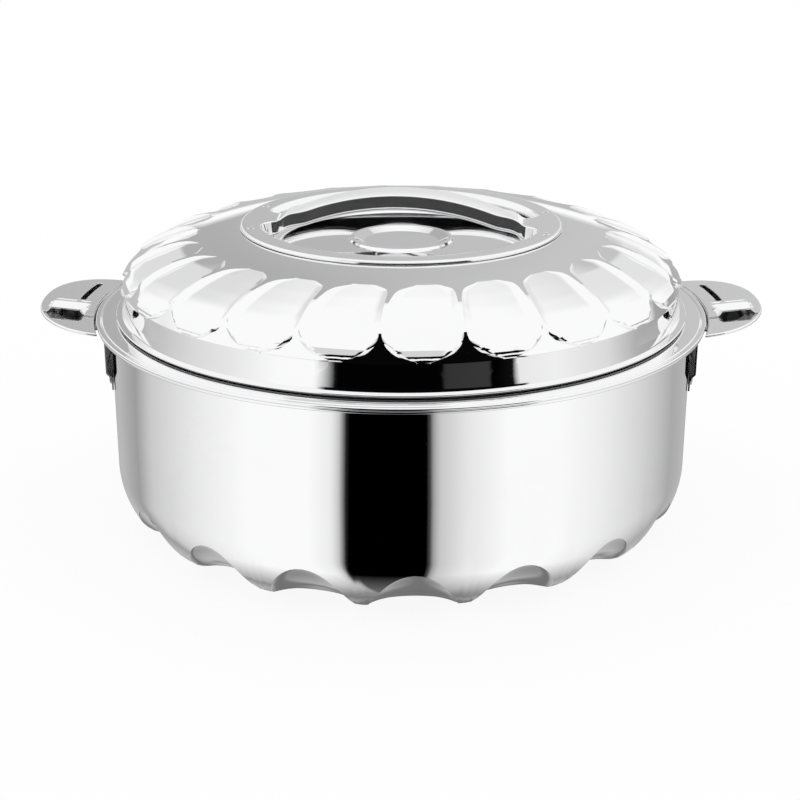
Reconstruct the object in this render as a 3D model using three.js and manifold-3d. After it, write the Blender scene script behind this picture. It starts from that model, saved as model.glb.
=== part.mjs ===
// Insulated serving casserole: a double-walled pot, a petal-pressed lift-off lid and folded handles.
// Millimetres. The pot stands on the plane of zero height and its axis is the vertical through the origin.
import * as THREE from "three";
import { ConvexGeometry } from "three/addons/geometries/ConvexGeometry.js";
import Module from "manifold-3d";

const wasm = await Module();
wasm.setup();

// Sheet steel and fits
const SHEET = 0.8;
const GAP = 0.3;
const SPIGOT_CLEARANCE = 1.6;
const RIVET_CLEARANCE = 0.25;
const CUT_MARGIN = 1.0;

// Pot outside
const RING_RADIUS = 152.5;
const RING_OVERHANG = 7.0;
const WALL_RADIUS = RING_RADIUS - RING_OVERHANG;
const RING_TOP = 105.7;
const HEM_HEIGHT = 1.5;
const HEM_WIDTH = 3.0;
const HEM_ROUNDING = 0.5;
const FLANGE_FILLET = 1.5;
const CORNER_WIDTH = 24.0;
const CORNER_HEIGHT = 30.0;

// Pressed dimples round the foot of the pot
const DIMPLE_COUNT = 18;
const DIMPLE_TURN = 2.5;
const DIMPLE_DEPTH = 7.0;
const DIMPLE_EXTRA_SHEET = 0.5;
const DIMPLE_WIDTH_SHARE = 0.94;
const DIMPLE_TOP_SHARE = 0.78;
const DIMPLE_RIM_SHARE = 0.6;
const DIMPLE_FOOT_SHARE = 0.35;
const BASE_MARGIN = 8.0;

// Inner bowl
const RING_WIDTH = 22.5;
const MOUTH_RADIUS = RING_RADIUS - RING_WIDTH;
const MOUTH_FILLET = 1.6;
const BOWL_TAPER = 3.0;
const BOWL_LOWER_RADIUS = MOUTH_RADIUS - BOWL_TAPER;
const BOWL_CORNER_RADIUS = 30.0;
const BOWL_FLOOR = 16.0;

// Lid handle: a pressed disc with two flanged windows and a bridge between them
const DISC_RADIUS = 80.0;
const DISC_HEIGHT = 2.1;
const DISC_BORDER = 10.0;
const WINDOW_RADIUS = DISC_RADIUS - DISC_BORDER;
const WINDOW_CORNER = 8.0;
const BRIDGE_WIDTH = 17.0;
const BRIDGE_INSET = 7.0;
const BRIDGE_HALF_SPAN = WINDOW_RADIUS - BRIDGE_INSET;
const BRIDGE_RISE = 16.0;
const BRIDGE_SKIRT = 5.6;
const WINDOW_SKIRT = 4.2;
const SKIRT_SHEET = 0.9;
const SKIRT_STEP = 0.1;
const DISC_RIVET_INSET = 4.6;
const DISC_RIVET_RADIUS = DISC_RADIUS - DISC_RIVET_INSET;
const DISC_RIVET_TURN = 18.0;
const DISC_RIVET_HEAD = 2.0;
const DISC_RIVET_SHANK = 1.2;
const DISC_RIVET_CROWN = 0.5;

// Lid
const LID_TURN = -4.5;
const LID_STEP = 10.1;
const LID_RIM_RADIUS = RING_RADIUS - LID_STEP;
const LID_FLANGE_HEIGHT = 1.0;
const LID_FLANGE_WIDTH = 3.5;
const LID_BAND_RADIUS = LID_RIM_RADIUS - LID_FLANGE_WIDTH;
const LID_SEAT_TOP = 147.5;
const LID_SEAT_MARGIN = 1.0;
const LID_SEAT_RADIUS = DISC_RADIUS + LID_SEAT_MARGIN;
const LID_DISH_MARGIN = 2.6;
const LID_DISH_RADIUS = WINDOW_RADIUS + LID_DISH_MARGIN;
const LID_DISH_SLOPE = 11.6;
const LID_DISH_DEPTH = 9.3;
const LID_DISH_RISE = 1.0;
const LID_DISH_WALL = 3.4;

// Petals pressed round the lid
const PETAL_COUNT = 23;
const PETAL_TURN = 0.7;
const PETAL_OVERHANG = 1.1;
const PETAL_REACH = LID_BAND_RADIUS + PETAL_OVERHANG - LID_SEAT_RADIUS;
const PETAL_FALL = 25.9;
const PETAL_LIP = 1.2;

// Lid inner cover
const SPIGOT_DEPTH = 7.0;
const SPIGOT_WIDTH = 5.0;
const COVER_RISE = 5.0;
const COVER_SLOPE = 7.4;

// Side handles
const EAR_TILT = 6.0;
const EAR_ROOT = 6.5;
const EAR_CENTRE = RING_RADIUS - EAR_ROOT;
const EAR_REACH = 35.5;
const EAR_HALF_WIDTH = 46.0;
const EAR_SQUARENESS = 2.4;
const EAR_INNER_RADIUS = RING_RADIUS + 2 * GAP;
const EAR_PIVOT_INSET = 2.5;
const EAR_PIVOT = RING_RADIUS - EAR_PIVOT_INSET;
const EAR_RIM_HEIGHT = 1.8;
const EAR_RIM_WIDTH = 1.0;
const EAR_COVER_INSET = 0.5;
const EAR_SEAM = 20.5;
const EAR_POCKET_DEPTH = 4.0;
const EAR_POCKET_MARGIN = 4.3;
const EAR_POCKET_WIDTH = 15.8;
const EAR_POCKET_INNER = EAR_INNER_RADIUS + EAR_POCKET_MARGIN;
const EAR_POCKET_OUTER = EAR_POCKET_INNER + EAR_POCKET_WIDTH;
const EAR_POCKET_FRONT = 27.5;
const EAR_POCKET_BACK = 36.0;
const EAR_POCKET_CORNER = 4.0;
const LOUVRE_RISE = 2.4;
const LOUVRE_MARGIN = 3.9;
const LOUVRE_WIDTH = 18.6;
const LOUVRE_INNER = EAR_INNER_RADIUS + LOUVRE_MARGIN;
const LOUVRE_OUTER = LOUVRE_INNER + LOUVRE_WIDTH;
const LOUVRE_SLOPE = 2.4;
const SLOT_MARGIN = 4.8;
const SLOT_RADIUS = EAR_POCKET_INNER + SLOT_MARGIN;
const SLOT_WIDTH = 3.0;
const SLOT_LENGTH = 34.0;
const SLOT_START = 1.5;

// Handle brackets on the wall
const BRACKET_HALF_TURN = 12.0;
const BRACKET_HEIGHT = 32.7;
const BRACKET_FOOT_HEIGHT = 6.0;
const BRACKET_JOGGLE = 2.6;
const BRACKET_ARM_DROP = 1.2;
const BRACKET_LIP_REACH = 2.9;
const BRACKET_LIP_DROP = 1.95;
const BRACKET_RIVET_TURN = 8.0;
const BRACKET_RIVET_HEAD = 3.0;
const BRACKET_RIVET_SHANK = 1.6;
const BRACKET_RIVET_CROWN = 1.1;

// Facets: columns round one petal, one dimple and one plain turned piece
const DIMPLE_COLUMNS = 4;
const ROUND_COLUMNS = 40;
const SMALL_COLUMNS = 10;
const ARCH_STEPS = 12;
const WINDOW_STEPS = 12;
const CORNER_STEPS = 3;
const EAR_STEPS = 22;
const SECTOR_STEPS = 4;
const DISC_COLUMNS = 48;

const FULL_TURN = 360;
const RIGHT_ANGLE = 90;

// Places from the lid's seat out to the foot of a petal, as shares of the petals' reach and fall:
// the line down the middle of a petal, and the line of the plain sheet between two petals.
const PETAL_SHARES = [
  [0.34, 0.112], [0.492, 0.236], [0.644, 0.371], [0.793, 0.525],
  [0.895, 0.676], [0.959, 0.822], [0.981, 0.919], [1.00, 1.00],
];
const WEB_SHARES = [
  [0.34, 0.112], [0.492, 0.178], [0.644, 0.274], [0.771, 0.413],
  [0.885, 0.575], [0.914, 0.730], [0.942, 0.882], [0.971, 1.027],
];

// Where the left and the right edge of a petal lie across one pitch, from its top to its foot.
const PETAL_LEFT_SHARES = [0.40, 0.06, 0.025, 0.03, 0.075, 0.165, 0.265, 0.40];
const PETAL_RIGHT_SHARES = [0.86, 0.965, 0.98, 0.97, 0.925, 0.835, 0.735, 0.60];
const PETAL_ACROSS_SHARES = [0, 0.28, 0.72, 1];
const PLAIN_ACROSS_SHARES = [0.12, 0.37, 0.62, 0.87];
const INNER_ROWS = [0, 3, 6];

// The dome of a rivet's head, as shares of its radius and of its crown.
const RIVET_DOME_SHARES = [[1, 0.33], [0.7, 0.85]];

// Rows up the rounded foot of the pot, outside, inside and on the foam, as shares of a quarter turn.
const CORNER_SHARES = [0, 0.16, 0.34, 0.54, 0.76, 1];
const CORNER_INNER_SHARES = [1, 0.66, 0.34, 0];
const CORNER_FOAM_SHARES = [0, 0.34, 1];

const degrees = THREE.MathUtils.degToRad;

// A point of a turned profile, and a flat polyline moved sideways by one sheet.
const at = (radius, height) => new THREE.Vector2(radius, height);

function offsetLine(points, distance) {
  return points.map((point, index) => {
    const before = points[Math.max(index - 1, 0)];
    const after = points[Math.min(index + 1, points.length - 1)];
    const first = point.clone().sub(before).normalize();
    const second = after.clone().sub(point).normalize();
    if (index === 0) {
      first.copy(second);
    }
    if (index === points.length - 1) {
      second.copy(first);
    }
    const normal = at(-first.y - second.y, first.x + second.x);
    const stretch = distance / (1 + first.dot(second));
    const moved = point.clone().addScaledVector(normal, stretch);
    moved.x = point.x === 0 ? 0 : moved.x;
    return moved;
  });
}

// A closed body from points and triangles: equal points become one, folded triangles go, and it faces out.
function weld(points, faces) {
  const keys = new Map();
  const kept = [];
  const remap = points.map((point) => {
    const key = [point.x, point.y, point.z].map((value) => Math.round(value * 1e4)).join(" ");
    if (!keys.has(key)) {
      keys.set(key, kept.length);
      kept.push(point);
    }
    return keys.get(key);
  });
  const solid = faces
    .map((face) => face.map((corner) => remap[corner]))
    .filter(([a, b, c]) => a !== b && b !== c && c !== a);
  let volume = 0;
  for (const [a, b, c] of solid) {
    volume += kept[a].dot(kept[b].clone().cross(kept[c]));
  }
  const index = volume < 0 ? solid.map(([a, b, c]) => [a, c, b]) : solid;
  const geometry = new THREE.BufferGeometry();
  const positions = kept.flatMap((point) => [point.x, point.y, point.z]);
  geometry.setAttribute("position", new THREE.Float32BufferAttribute(positions, 3));
  geometry.setIndex(index.flat());
  return geometry;
}

// The triangles that fill a profile, each in the profile's own sense of turning.
function filled(profile) {
  const way = THREE.ShapeUtils.area(profile);
  return THREE.ShapeUtils.triangulateShape(profile, []).map(([a, b, c]) => {
    const same = THREE.ShapeUtils.area([profile[a], profile[b], profile[c]]) * way > 0;
    return same ? [a, b, c] : [a, c, b];
  });
}

// A point of a turned profile carried round the vertical axis to an angle.
function carried(point, angle) {
  const turn = degrees(angle);
  return new THREE.Vector3(point.x * Math.sin(turn), -point.x * Math.cos(turn), point.y);
}

// The skin between neighbouring columns of points, each column a closed loop.
function skin(columns, closed) {
  const rows = columns[0].length;
  const faces = [];
  const steps = closed ? columns.length : columns.length - 1;
  for (let step = 0; step < steps; step += 1) {
    const here = step * rows;
    const next = ((step + 1) % columns.length) * rows;
    for (let row = 0; row < rows; row += 1) {
      const up = (row + 1) % rows;
      faces.push([here + row, next + row, next + up]);
      faces.push([here + row, next + up, here + up]);
    }
  }
  return faces;
}

// The body swept by a closed profile round the vertical axis. The profile may change with the angle;
// a sweep short of a full turn gets two flat ends.
function turned(profileAt, angles) {
  const profiles = angles.list.map((angle) => profileAt(angle));
  const columns = profiles.map((profile, index) => profile.map((point) => carried(point, angles.list[index])));
  const faces = skin(columns, angles.closed);
  if (!angles.closed) {
    const last = (columns.length - 1) * profiles[0].length;
    for (const [a, b, c] of filled(profiles[0])) {
      faces.push([a, b, c]);
      faces.push([last + a, last + c, last + b]);
    }
  }
  return weld(columns.flat(), faces);
}

function fullTurn(count, start = 0) {
  const list = [];
  for (let step = 0; step < count; step += 1) {
    list.push(start + (FULL_TURN * step) / count);
  }
  return { list, closed: true };
}

function partTurn(centre, half, count) {
  const list = [];
  for (let step = 0; step <= count; step += 1) {
    list.push(centre - half + (2 * half * step) / count);
  }
  return { list, closed: false };
}

const plainTurned = (profile, count = ROUND_COLUMNS) => turned(() => profile, fullTurn(count));

// A flat outline given a thickness upwards from a height.
function slab(outline, height, thickness, holes = []) {
  const shape = new THREE.Shape(outline);
  shape.holes = holes.map((hole) => new THREE.Path(hole));
  const geometry = new THREE.ExtrudeGeometry(shape, { depth: thickness, bevelEnabled: false });
  geometry.translate(0, 0, height);
  return closedBody(geometry);
}

// Any geometry as one welded body without normals or texture coordinates.
function closedBody(geometry) {
  const plain = geometry.index ? geometry.toNonIndexed() : geometry;
  const source = plain.getAttribute("position");
  const points = [];
  const faces = [];
  for (let index = 0; index < source.count; index += 1) {
    points.push(new THREE.Vector3().fromBufferAttribute(source, index));
  }
  for (let index = 0; index < source.count; index += 3) {
    faces.push([index, index + 1, index + 2]);
  }
  return weld(points, faces);
}

function toManifold(geometry) {
  const mesh = new wasm.Mesh({
    numProp: 3,
    vertProperties: Float32Array.from(geometry.getAttribute("position").array),
    triVerts: Uint32Array.from(geometry.getIndex().array),
  });
  return new wasm.Manifold(mesh);
}

function fromManifold(manifold) {
  const mesh = manifold.getMesh();
  const geometry = new THREE.BufferGeometry();
  geometry.setAttribute("position", new THREE.Float32BufferAttribute(mesh.vertProperties, 3));
  geometry.setIndex(Array.from(mesh.triVerts));
  return closedBody(geometry);
}

const joined = (bodies) => bodies.map(toManifold).reduce((whole, body) => whole.add(body));
const without = (whole, bodies) => bodies.map(toManifold).reduce((rest, body) => rest.subtract(body), whole);

// Pot: outer shell
const dimplePitch = FULL_TURN / DIMPLE_COUNT;
const contactRadius = WALL_RADIUS - CORNER_WIDTH;

// One point of the rounded foot: share 0 is where it meets the table, share 1 is the foot of the wall.
// Inside a dimple it is pressed in and up by the dimple's depth there.
function footPoint(share, angle, sheet) {
  const turn = degrees(RIGHT_ANGLE * share);
  const normal = at(Math.sin(turn) / CORNER_WIDTH, -Math.cos(turn) / CORNER_HEIGHT).normalize();
  const point = at(contactRadius + CORNER_WIDTH * Math.sin(turn), CORNER_HEIGHT * (1 - Math.cos(turn)));
  const phase = ((angle - DIMPLE_TURN) / dimplePitch) % 1;
  const side = 2 * Math.abs(phase - Math.round(phase));
  const room = 1 - (side / DIMPLE_WIDTH_SHARE) ** 2 - (share / DIMPLE_TOP_SHARE) ** 2;
  const hollow = Math.max(room, 0) ** DIMPLE_RIM_SHARE;
  const rise = Math.min(DIMPLE_FOOT_SHARE + share / DIMPLE_FOOT_SHARE, 1);
  const press = DIMPLE_DEPTH * hollow * rise + sheet;
  point.addScaledVector(normal, -press);
  point.y = Math.max(point.y, sheet);
  return point;
}

const flangeLow = RING_TOP - 2 * HEM_HEIGHT;
const flangeTop = RING_TOP - HEM_HEIGHT;
const shellInnerRadius = WALL_RADIUS - SHEET;
const shellFlangeRadius = RING_RADIUS - HEM_ROUNDING;

function outerShellProfile(angle) {
  const footSheet = SHEET + DIMPLE_EXTRA_SHEET;
  return [
    at(0, 0),
    at(contactRadius - BASE_MARGIN, 0),
    ...CORNER_SHARES.map((share) => footPoint(share, angle, 0)),
    at(WALL_RADIUS, flangeLow - FLANGE_FILLET),
    at(WALL_RADIUS + FLANGE_FILLET, flangeLow),
    at(shellFlangeRadius - HEM_ROUNDING, flangeLow),
    at(shellFlangeRadius, (flangeLow + flangeTop) / 2),
    at(shellFlangeRadius - HEM_ROUNDING, flangeTop),
    at(shellInnerRadius, flangeTop),
    ...CORNER_INNER_SHARES.map((share) => footPoint(share, angle, share === 1 ? SHEET : footSheet)),
    at(0, footSheet),
  ];
}

function outerShell() {
  return turned(outerShellProfile, fullTurn(DIMPLE_COUNT * DIMPLE_COLUMNS, DIMPLE_TURN));
}

// Pot: inner bowl with its wide rim
function bowlWall(sheet) {
  const corner = [];
  const radius = BOWL_CORNER_RADIUS + sheet;
  for (let step = 0; step <= CORNER_STEPS; step += 1) {
    const turn = degrees((RIGHT_ANGLE * step) / CORNER_STEPS);
    const centre = at(BOWL_LOWER_RADIUS - BOWL_CORNER_RADIUS, BOWL_FLOOR + BOWL_CORNER_RADIUS);
    corner.push(at(centre.x + radius * Math.sin(turn), centre.y - radius * Math.cos(turn)));
  }
  return [at(0, BOWL_FLOOR - sheet), ...corner, at(MOUTH_RADIUS + sheet, RING_TOP - SHEET - MOUTH_FILLET)];
}

function innerBowl() {
  const hemInner = RING_RADIUS - HEM_WIDTH;
  return plainTurned([
    ...bowlWall(0),
    at(MOUTH_RADIUS + MOUTH_FILLET, RING_TOP),
    at(hemInner, RING_TOP),
    at(hemInner + HEM_ROUNDING, RING_TOP - HEM_ROUNDING),
    at(hemInner + 2 * HEM_ROUNDING, RING_TOP),
    at(RING_RADIUS - HEM_ROUNDING, RING_TOP),
    at(RING_RADIUS, RING_TOP - HEM_ROUNDING),
    at(RING_RADIUS, flangeTop + HEM_ROUNDING),
    at(RING_RADIUS - HEM_ROUNDING, flangeTop),
    at(hemInner, flangeTop),
    at(hemInner - HEM_ROUNDING, RING_TOP - SHEET),
    at(MOUTH_RADIUS + SHEET + MOUTH_FILLET, RING_TOP - SHEET),
    ...bowlWall(SHEET).reverse(),
  ]);
}

// Pot: foam between the two walls
function bodyInsulation() {
  const sheet = SHEET + DIMPLE_EXTRA_SHEET + GAP;
  const top = flangeTop - GAP;
  const foot = CORNER_FOAM_SHARES.map((share) => footPoint(share, DIMPLE_TURN, sheet));
  return plainTurned([
    at(0, sheet),
    ...foot,
    at(foot[foot.length - 1].x, top),
    at(MOUTH_RADIUS + SHEET + MOUTH_FILLET + GAP, top),
    ...bowlWall(SHEET + GAP).reverse(),
  ]);
}

// Lid: petalled outer shell
const petalPitch = FULL_TURN / PETAL_COUNT;
const lidLow = RING_TOP + GAP + SHEET;
const petalPoint = ([reach, fall]) => at(LID_SEAT_RADIUS + PETAL_REACH * reach, LID_SEAT_TOP - PETAL_FALL * fall);
const petalLine = PETAL_SHARES.map(petalPoint);
const webLine = WEB_SHARES.map(petalPoint);
const petalUnder = offsetLine(petalLine, -SHEET);
const webUnder = offsetLine(webLine, -SHEET);

const dishFloor = LID_SEAT_TOP - LID_DISH_DEPTH;
const dishLine = [
  at(0, dishFloor + LID_DISH_RISE),
  at(LID_DISH_RADIUS - LID_DISH_SLOPE, dishFloor),
  at(LID_DISH_RADIUS - SHEET, LID_SEAT_TOP - LID_DISH_WALL),
  at(LID_DISH_RADIUS, LID_SEAT_TOP),
];

// The turned part of the lid below the petals: the steep band and the flat flange with its hem.
const flangeOver = lidLow + LID_FLANGE_HEIGHT;

function lidRimLine() {
  return [
    at(LID_BAND_RADIUS, LID_SEAT_TOP - PETAL_FALL - PETAL_LIP),
    at(LID_BAND_RADIUS, flangeOver),
    at(LID_RIM_RADIUS - SHEET, flangeOver),
    at(LID_RIM_RADIUS, lidLow + LID_FLANGE_HEIGHT / 2),
    at(LID_RIM_RADIUS - SHEET, lidLow),
    at(LID_BAND_RADIUS - SHEET, lidLow),
  ];
}

// A petal's column: its edges follow the plain sheet's line and its middle the petal's own line, and each
// row has its own place across the pitch, so that the edges run round like those of overlapping coins.
function petalColumn(petal, part) {
  const plainAngle = PETAL_TURN + petalPitch * (petal + PLAIN_ACROSS_SHARES[part]);
  const across = PETAL_ACROSS_SHARES[part];
  const onEdge = across === 0 || across === 1;
  const plain = (points) => points.map((point) => carried(point, plainAngle));
  const rowPoint = (row, middle, edge) => {
    const left = PETAL_LEFT_SHARES[row];
    const share = left + across * (PETAL_RIGHT_SHARES[row] - left);
    return carried(onEdge ? edge[row] : middle[row], PETAL_TURN + petalPitch * (petal + share));
  };
  return [
    ...plain([...dishLine, at(LID_SEAT_RADIUS, LID_SEAT_TOP)]),
    ...PETAL_SHARES.map((_, row) => rowPoint(row, petalLine, webLine)),
    ...plain(lidRimLine()),
    ...INNER_ROWS.map((row) => rowPoint(row, petalUnder, webUnder)).reverse(),
    ...plain([at(LID_SEAT_RADIUS, LID_SEAT_TOP - SHEET), at(LID_DISH_RADIUS + SHEET, LID_SEAT_TOP - SHEET)]),
    ...plain(offsetLine(dishLine, -SHEET).slice(0, -1).reverse()),
  ];
}

function lidOuterShell() {
  const columns = [];
  for (let petal = 0; petal < PETAL_COUNT; petal += 1) {
    PETAL_ACROSS_SHARES.forEach((_, part) => columns.push(petalColumn(petal, part)));
  }
  return weld(columns.flat(), skin(columns, true));
}

// Lid: inner cover with the spigot that drops into the bowl
const spigotRadius = MOUTH_RADIUS - SPIGOT_CLEARANCE;
const coverPanelRadius = spigotRadius - SPIGOT_WIDTH - COVER_SLOPE;
const coverTop = RING_TOP + GAP;

function coverLine() {
  const low = coverTop - SPIGOT_DEPTH;
  return [
    at(0, coverTop + COVER_RISE),
    at(coverPanelRadius, coverTop),
    at(spigotRadius - SPIGOT_WIDTH, low),
    at(spigotRadius, low),
    at(spigotRadius, coverTop),
    at(LID_RIM_RADIUS - SHEET, coverTop),
  ];
}

function lidInnerCover() {
  return plainTurned([...coverLine(), ...offsetLine(coverLine(), SHEET).reverse()]);
}

// Lid: foam under the petals
function lidInsulation() {
  const above = offsetLine(coverLine(), SHEET + GAP);
  const roof = offsetLine(webLine, -4 * SHEET - GAP);
  const dish = offsetLine(dishLine, -SHEET - GAP);
  const floor = lidLow + GAP;
  const bandRadius = LID_BAND_RADIUS - 2 * SHEET - GAP;
  const seatUnder = LID_SEAT_TOP - SHEET - GAP;
  return plainTurned([
    at(0, dish[0].y),
    dish[1],
    dish[2],
    at(LID_DISH_RADIUS + SHEET + GAP, seatUnder),
    at(LID_SEAT_RADIUS, seatUnder),
    ...[0, 3, 5].map((row) => roof[row]),
    at(bandRadius, flangeOver),
    at(bandRadius, floor),
    at(spigotRadius, floor),
    at(coverPanelRadius, above[1].y),
    at(0, above[0].y),
  ]);
}

// Lid handle
const discTop = LID_SEAT_TOP + DISC_HEIGHT;

function bridgeRise(x) {
  const radius = (BRIDGE_HALF_SPAN ** 2 + BRIDGE_RISE ** 2) / (2 * BRIDGE_RISE);
  const reach = Math.min(Math.abs(x), BRIDGE_HALF_SPAN);
  return Math.sqrt(radius ** 2 - reach ** 2) - radius + BRIDGE_RISE;
}

// One window: a straight side under the bridge, an arc inside the rim, and rounded corners.
function windowOutline() {
  const half = BRIDGE_WIDTH / 2;
  const cornerY = half + WINDOW_CORNER;
  const cornerX = Math.sqrt((WINDOW_RADIUS - WINDOW_CORNER) ** 2 - cornerY ** 2);
  const lean = Math.atan2(cornerY, cornerX);
  const points = [];
  for (let step = 0; step <= ARCH_STEPS; step += 1) {
    points.push(at(-cornerX + (2 * cornerX * step) / ARCH_STEPS, -half));
  }
  const rightCorner = [];
  for (let step = 1; step <= CORNER_STEPS; step += 1) {
    const turn = Math.PI / 2 - ((Math.PI / 2 + lean) * step) / CORNER_STEPS;
    rightCorner.push(at(cornerX + WINDOW_CORNER * Math.cos(turn), WINDOW_CORNER * Math.sin(turn) - cornerY));
  }
  points.push(...rightCorner);
  for (let step = 1; step < WINDOW_STEPS; step += 1) {
    const turn = -lean - ((Math.PI - 2 * lean) * step) / WINDOW_STEPS;
    points.push(at(WINDOW_RADIUS * Math.cos(turn), WINDOW_RADIUS * Math.sin(turn)));
  }
  points.push(...rightCorner.map((point) => at(-point.x, point.y)).reverse());
  return points;
}

// The edge of a window folded down: a closed strip that follows the outline and the arch of the bridge.
function windowSkirt(outline) {
  const count = outline.length;
  const sections = outline.map((point, index) => {
    const before = outline[(index + count - 1) % count];
    const after = outline[(index + 1) % count];
    const along = after.clone().sub(before).normalize();
    const outward = at(-along.y, along.x).multiplyScalar(SKIRT_SHEET);
    const underBridge = index <= ARCH_STEPS;
    const top = discTop - SKIRT_STEP + (underBridge ? bridgeRise(point.x) : 0);
    const low = top - (underBridge ? BRIDGE_SKIRT : WINDOW_SKIRT);
    const far = point.clone().add(outward);
    return [
      new THREE.Vector3(point.x, point.y, top),
      new THREE.Vector3(far.x, far.y, top),
      new THREE.Vector3(far.x, far.y, low),
      new THREE.Vector3(point.x, point.y, low),
    ];
  });
  return weld(sections.flat(), skin(sections, true));
}

function halfTurned(geometry) {
  const copy = geometry.clone();
  copy.rotateZ(Math.PI);
  return copy;
}

function bridgeStrip() {
  const end = BRIDGE_HALF_SPAN + 2 * SHEET;
  const top = [];
  for (let step = 0; step <= ARCH_STEPS; step += 1) {
    const x = -BRIDGE_HALF_SPAN + (2 * BRIDGE_HALF_SPAN * step) / ARCH_STEPS;
    top.push(at(x, discTop + bridgeRise(x)));
  }
  const line = [at(-end, discTop), ...top, at(end, discTop)];
  const under = line.map((point) => at(point.x, point.y - SHEET)).reverse();
  const geometry = new THREE.ExtrudeGeometry(new THREE.Shape([...line, ...under]), {
    depth: BRIDGE_WIDTH,
    bevelEnabled: false,
  });
  geometry.rotateX(Math.PI / 2);
  geometry.translate(0, BRIDGE_WIDTH / 2, 0);
  return closedBody(geometry);
}

function circle(radius, count, x = 0, y = 0) {
  const points = [];
  for (let step = 0; step < count; step += 1) {
    const turn = degrees((FULL_TURN * step) / count);
    points.push(at(x + radius * Math.cos(turn), y + radius * Math.sin(turn)));
  }
  return points;
}

const discRivetPlaces = [0, 1, 2, 3].map((corner) => {
  const side = corner < 2 ? 0 : FULL_TURN / 2;
  const turn = degrees(side + (corner % 2 === 0 ? DISC_RIVET_TURN : -DISC_RIVET_TURN));
  return at(DISC_RIVET_RADIUS * Math.cos(turn), DISC_RIVET_RADIUS * Math.sin(turn));
});

function lidHandle() {
  const outline = windowOutline();
  const opposite = outline.map((point) => at(-point.x, -point.y));
  const plate = slab(circle(DISC_RADIUS, DISC_COLUMNS), discTop - SHEET, SHEET, [outline, opposite]);
  const lipInner = circle(DISC_RADIUS - SHEET, DISC_COLUMNS);
  const lipHeight = DISC_HEIGHT - GAP - SHEET / 2;
  const lip = slab(circle(DISC_RADIUS, DISC_COLUMNS), LID_SEAT_TOP + GAP, lipHeight, [lipInner]);
  const half = BRIDGE_WIDTH / 2;
  const reach = BRIDGE_HALF_SPAN;
  const band = slab(
    [at(-reach, -half), at(reach, -half), at(reach, half), at(-reach, half)],
    discTop - SHEET - CUT_MARGIN,
    SHEET + 2 * CUT_MARGIN,
  );
  const open = without(toManifold(plate), [band]);
  const skirt = windowSkirt(outline);
  const whole = joined([fromManifold(open), lip, bridgeStrip(), skirt, halfTurned(skirt)]);
  const holes = discRivetPlaces.map((place) => {
    const hole = circle(DISC_RIVET_SHANK + RIVET_CLEARANCE, SMALL_COLUMNS, place.x, place.y);
    return slab(hole, discTop - DISC_HEIGHT, 2 * DISC_HEIGHT);
  });
  return fromManifold(without(whole, holes));
}

// A rivet: shank below, low domed head above, standing on the vertical axis with its head's foot at zero.
function rivet(head, shank, crown, length) {
  return plainTurned(
    [
      at(0, -length),
      at(shank, -length),
      at(shank, 0),
      at(head, 0),
      ...RIVET_DOME_SHARES.map(([out, up]) => at(head * out, crown * up)),
      at(0, crown),
    ],
    SMALL_COLUMNS,
  );
}

function discRivet(place) {
  const length = DISC_HEIGHT - GAP;
  const body = rivet(DISC_RIVET_HEAD, DISC_RIVET_SHANK, DISC_RIVET_CROWN, length);
  body.translate(place.x, place.y, discTop);
  return body;
}

// Side handles, drawn for the right side and mirrored for the left one
const seamStart = -EAR_HALF_WIDTH - CUT_MARGIN;

function earArc(radius, from, to) {
  const points = [];
  for (let step = 0; step <= SECTOR_STEPS; step += 1) {
    const y = from + ((to - from) * step) / SECTOR_STEPS;
    points.push(at(Math.sqrt(radius ** 2 - y ** 2), y));
  }
  return points;
}

function earOutline(inset, innerRadius) {
  const points = [];
  for (let step = 0; step <= EAR_STEPS; step += 1) {
    const turn = degrees(RIGHT_ANGLE - (2 * RIGHT_ANGLE * step) / EAR_STEPS);
    const power = 2 / EAR_SQUARENESS;
    const x = EAR_CENTRE + (EAR_REACH - inset) * Math.max(Math.cos(turn), 0) ** power;
    const y = (EAR_HALF_WIDTH - inset) * Math.sign(Math.sin(turn)) * Math.abs(Math.sin(turn)) ** power;
    points.push(at(x, y));
  }
  const inner = earArc(innerRadius, inset - EAR_HALF_WIDTH, EAR_HALF_WIDTH - inset);
  return [...points.filter((point) => point.x > inner[0].x), ...inner];
}

function pocketOutline(inset) {
  const inner = EAR_POCKET_INNER - inset;
  const outer = EAR_POCKET_OUTER + inset;
  const front = -EAR_POCKET_FRONT - inset;
  const back = EAR_POCKET_BACK + inset;
  const corner = EAR_POCKET_CORNER;
  const taper = EAR_POCKET_CORNER * 2;
  return [
    at(inner, front), at(outer - taper, front), at(outer, front + taper + corner),
    at(outer, back - taper - corner), at(outer - taper, back), at(inner, back),
  ];
}

function earPlate() {
  const sheetLow = -2 * SHEET;
  const sheet = slab(earOutline(0, EAR_INNER_RADIUS), sheetLow, SHEET);
  const rimLow = -SHEET - EAR_RIM_HEIGHT;
  const rimHeight = EAR_RIM_HEIGHT - SHEET / 2;
  const rim = without(toManifold(slab(earOutline(0, EAR_INNER_RADIUS), rimLow, rimHeight)), [
    slab(earOutline(EAR_RIM_WIDTH, EAR_CENTRE), rimLow - CUT_MARGIN, rimHeight + 2 * CUT_MARGIN),
  ]);
  const cupHeight = EAR_POCKET_DEPTH + SHEET / 2;
  const cup = slab(pocketOutline(SHEET), -EAR_POCKET_DEPTH - 2 * SHEET, cupHeight);
  const room = slab(pocketOutline(0), -EAR_POCKET_DEPTH - SHEET, EAR_POCKET_DEPTH + CUT_MARGIN);
  return without(joined([sheet, fromManifold(rim), cup]), [room]);
}

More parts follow.
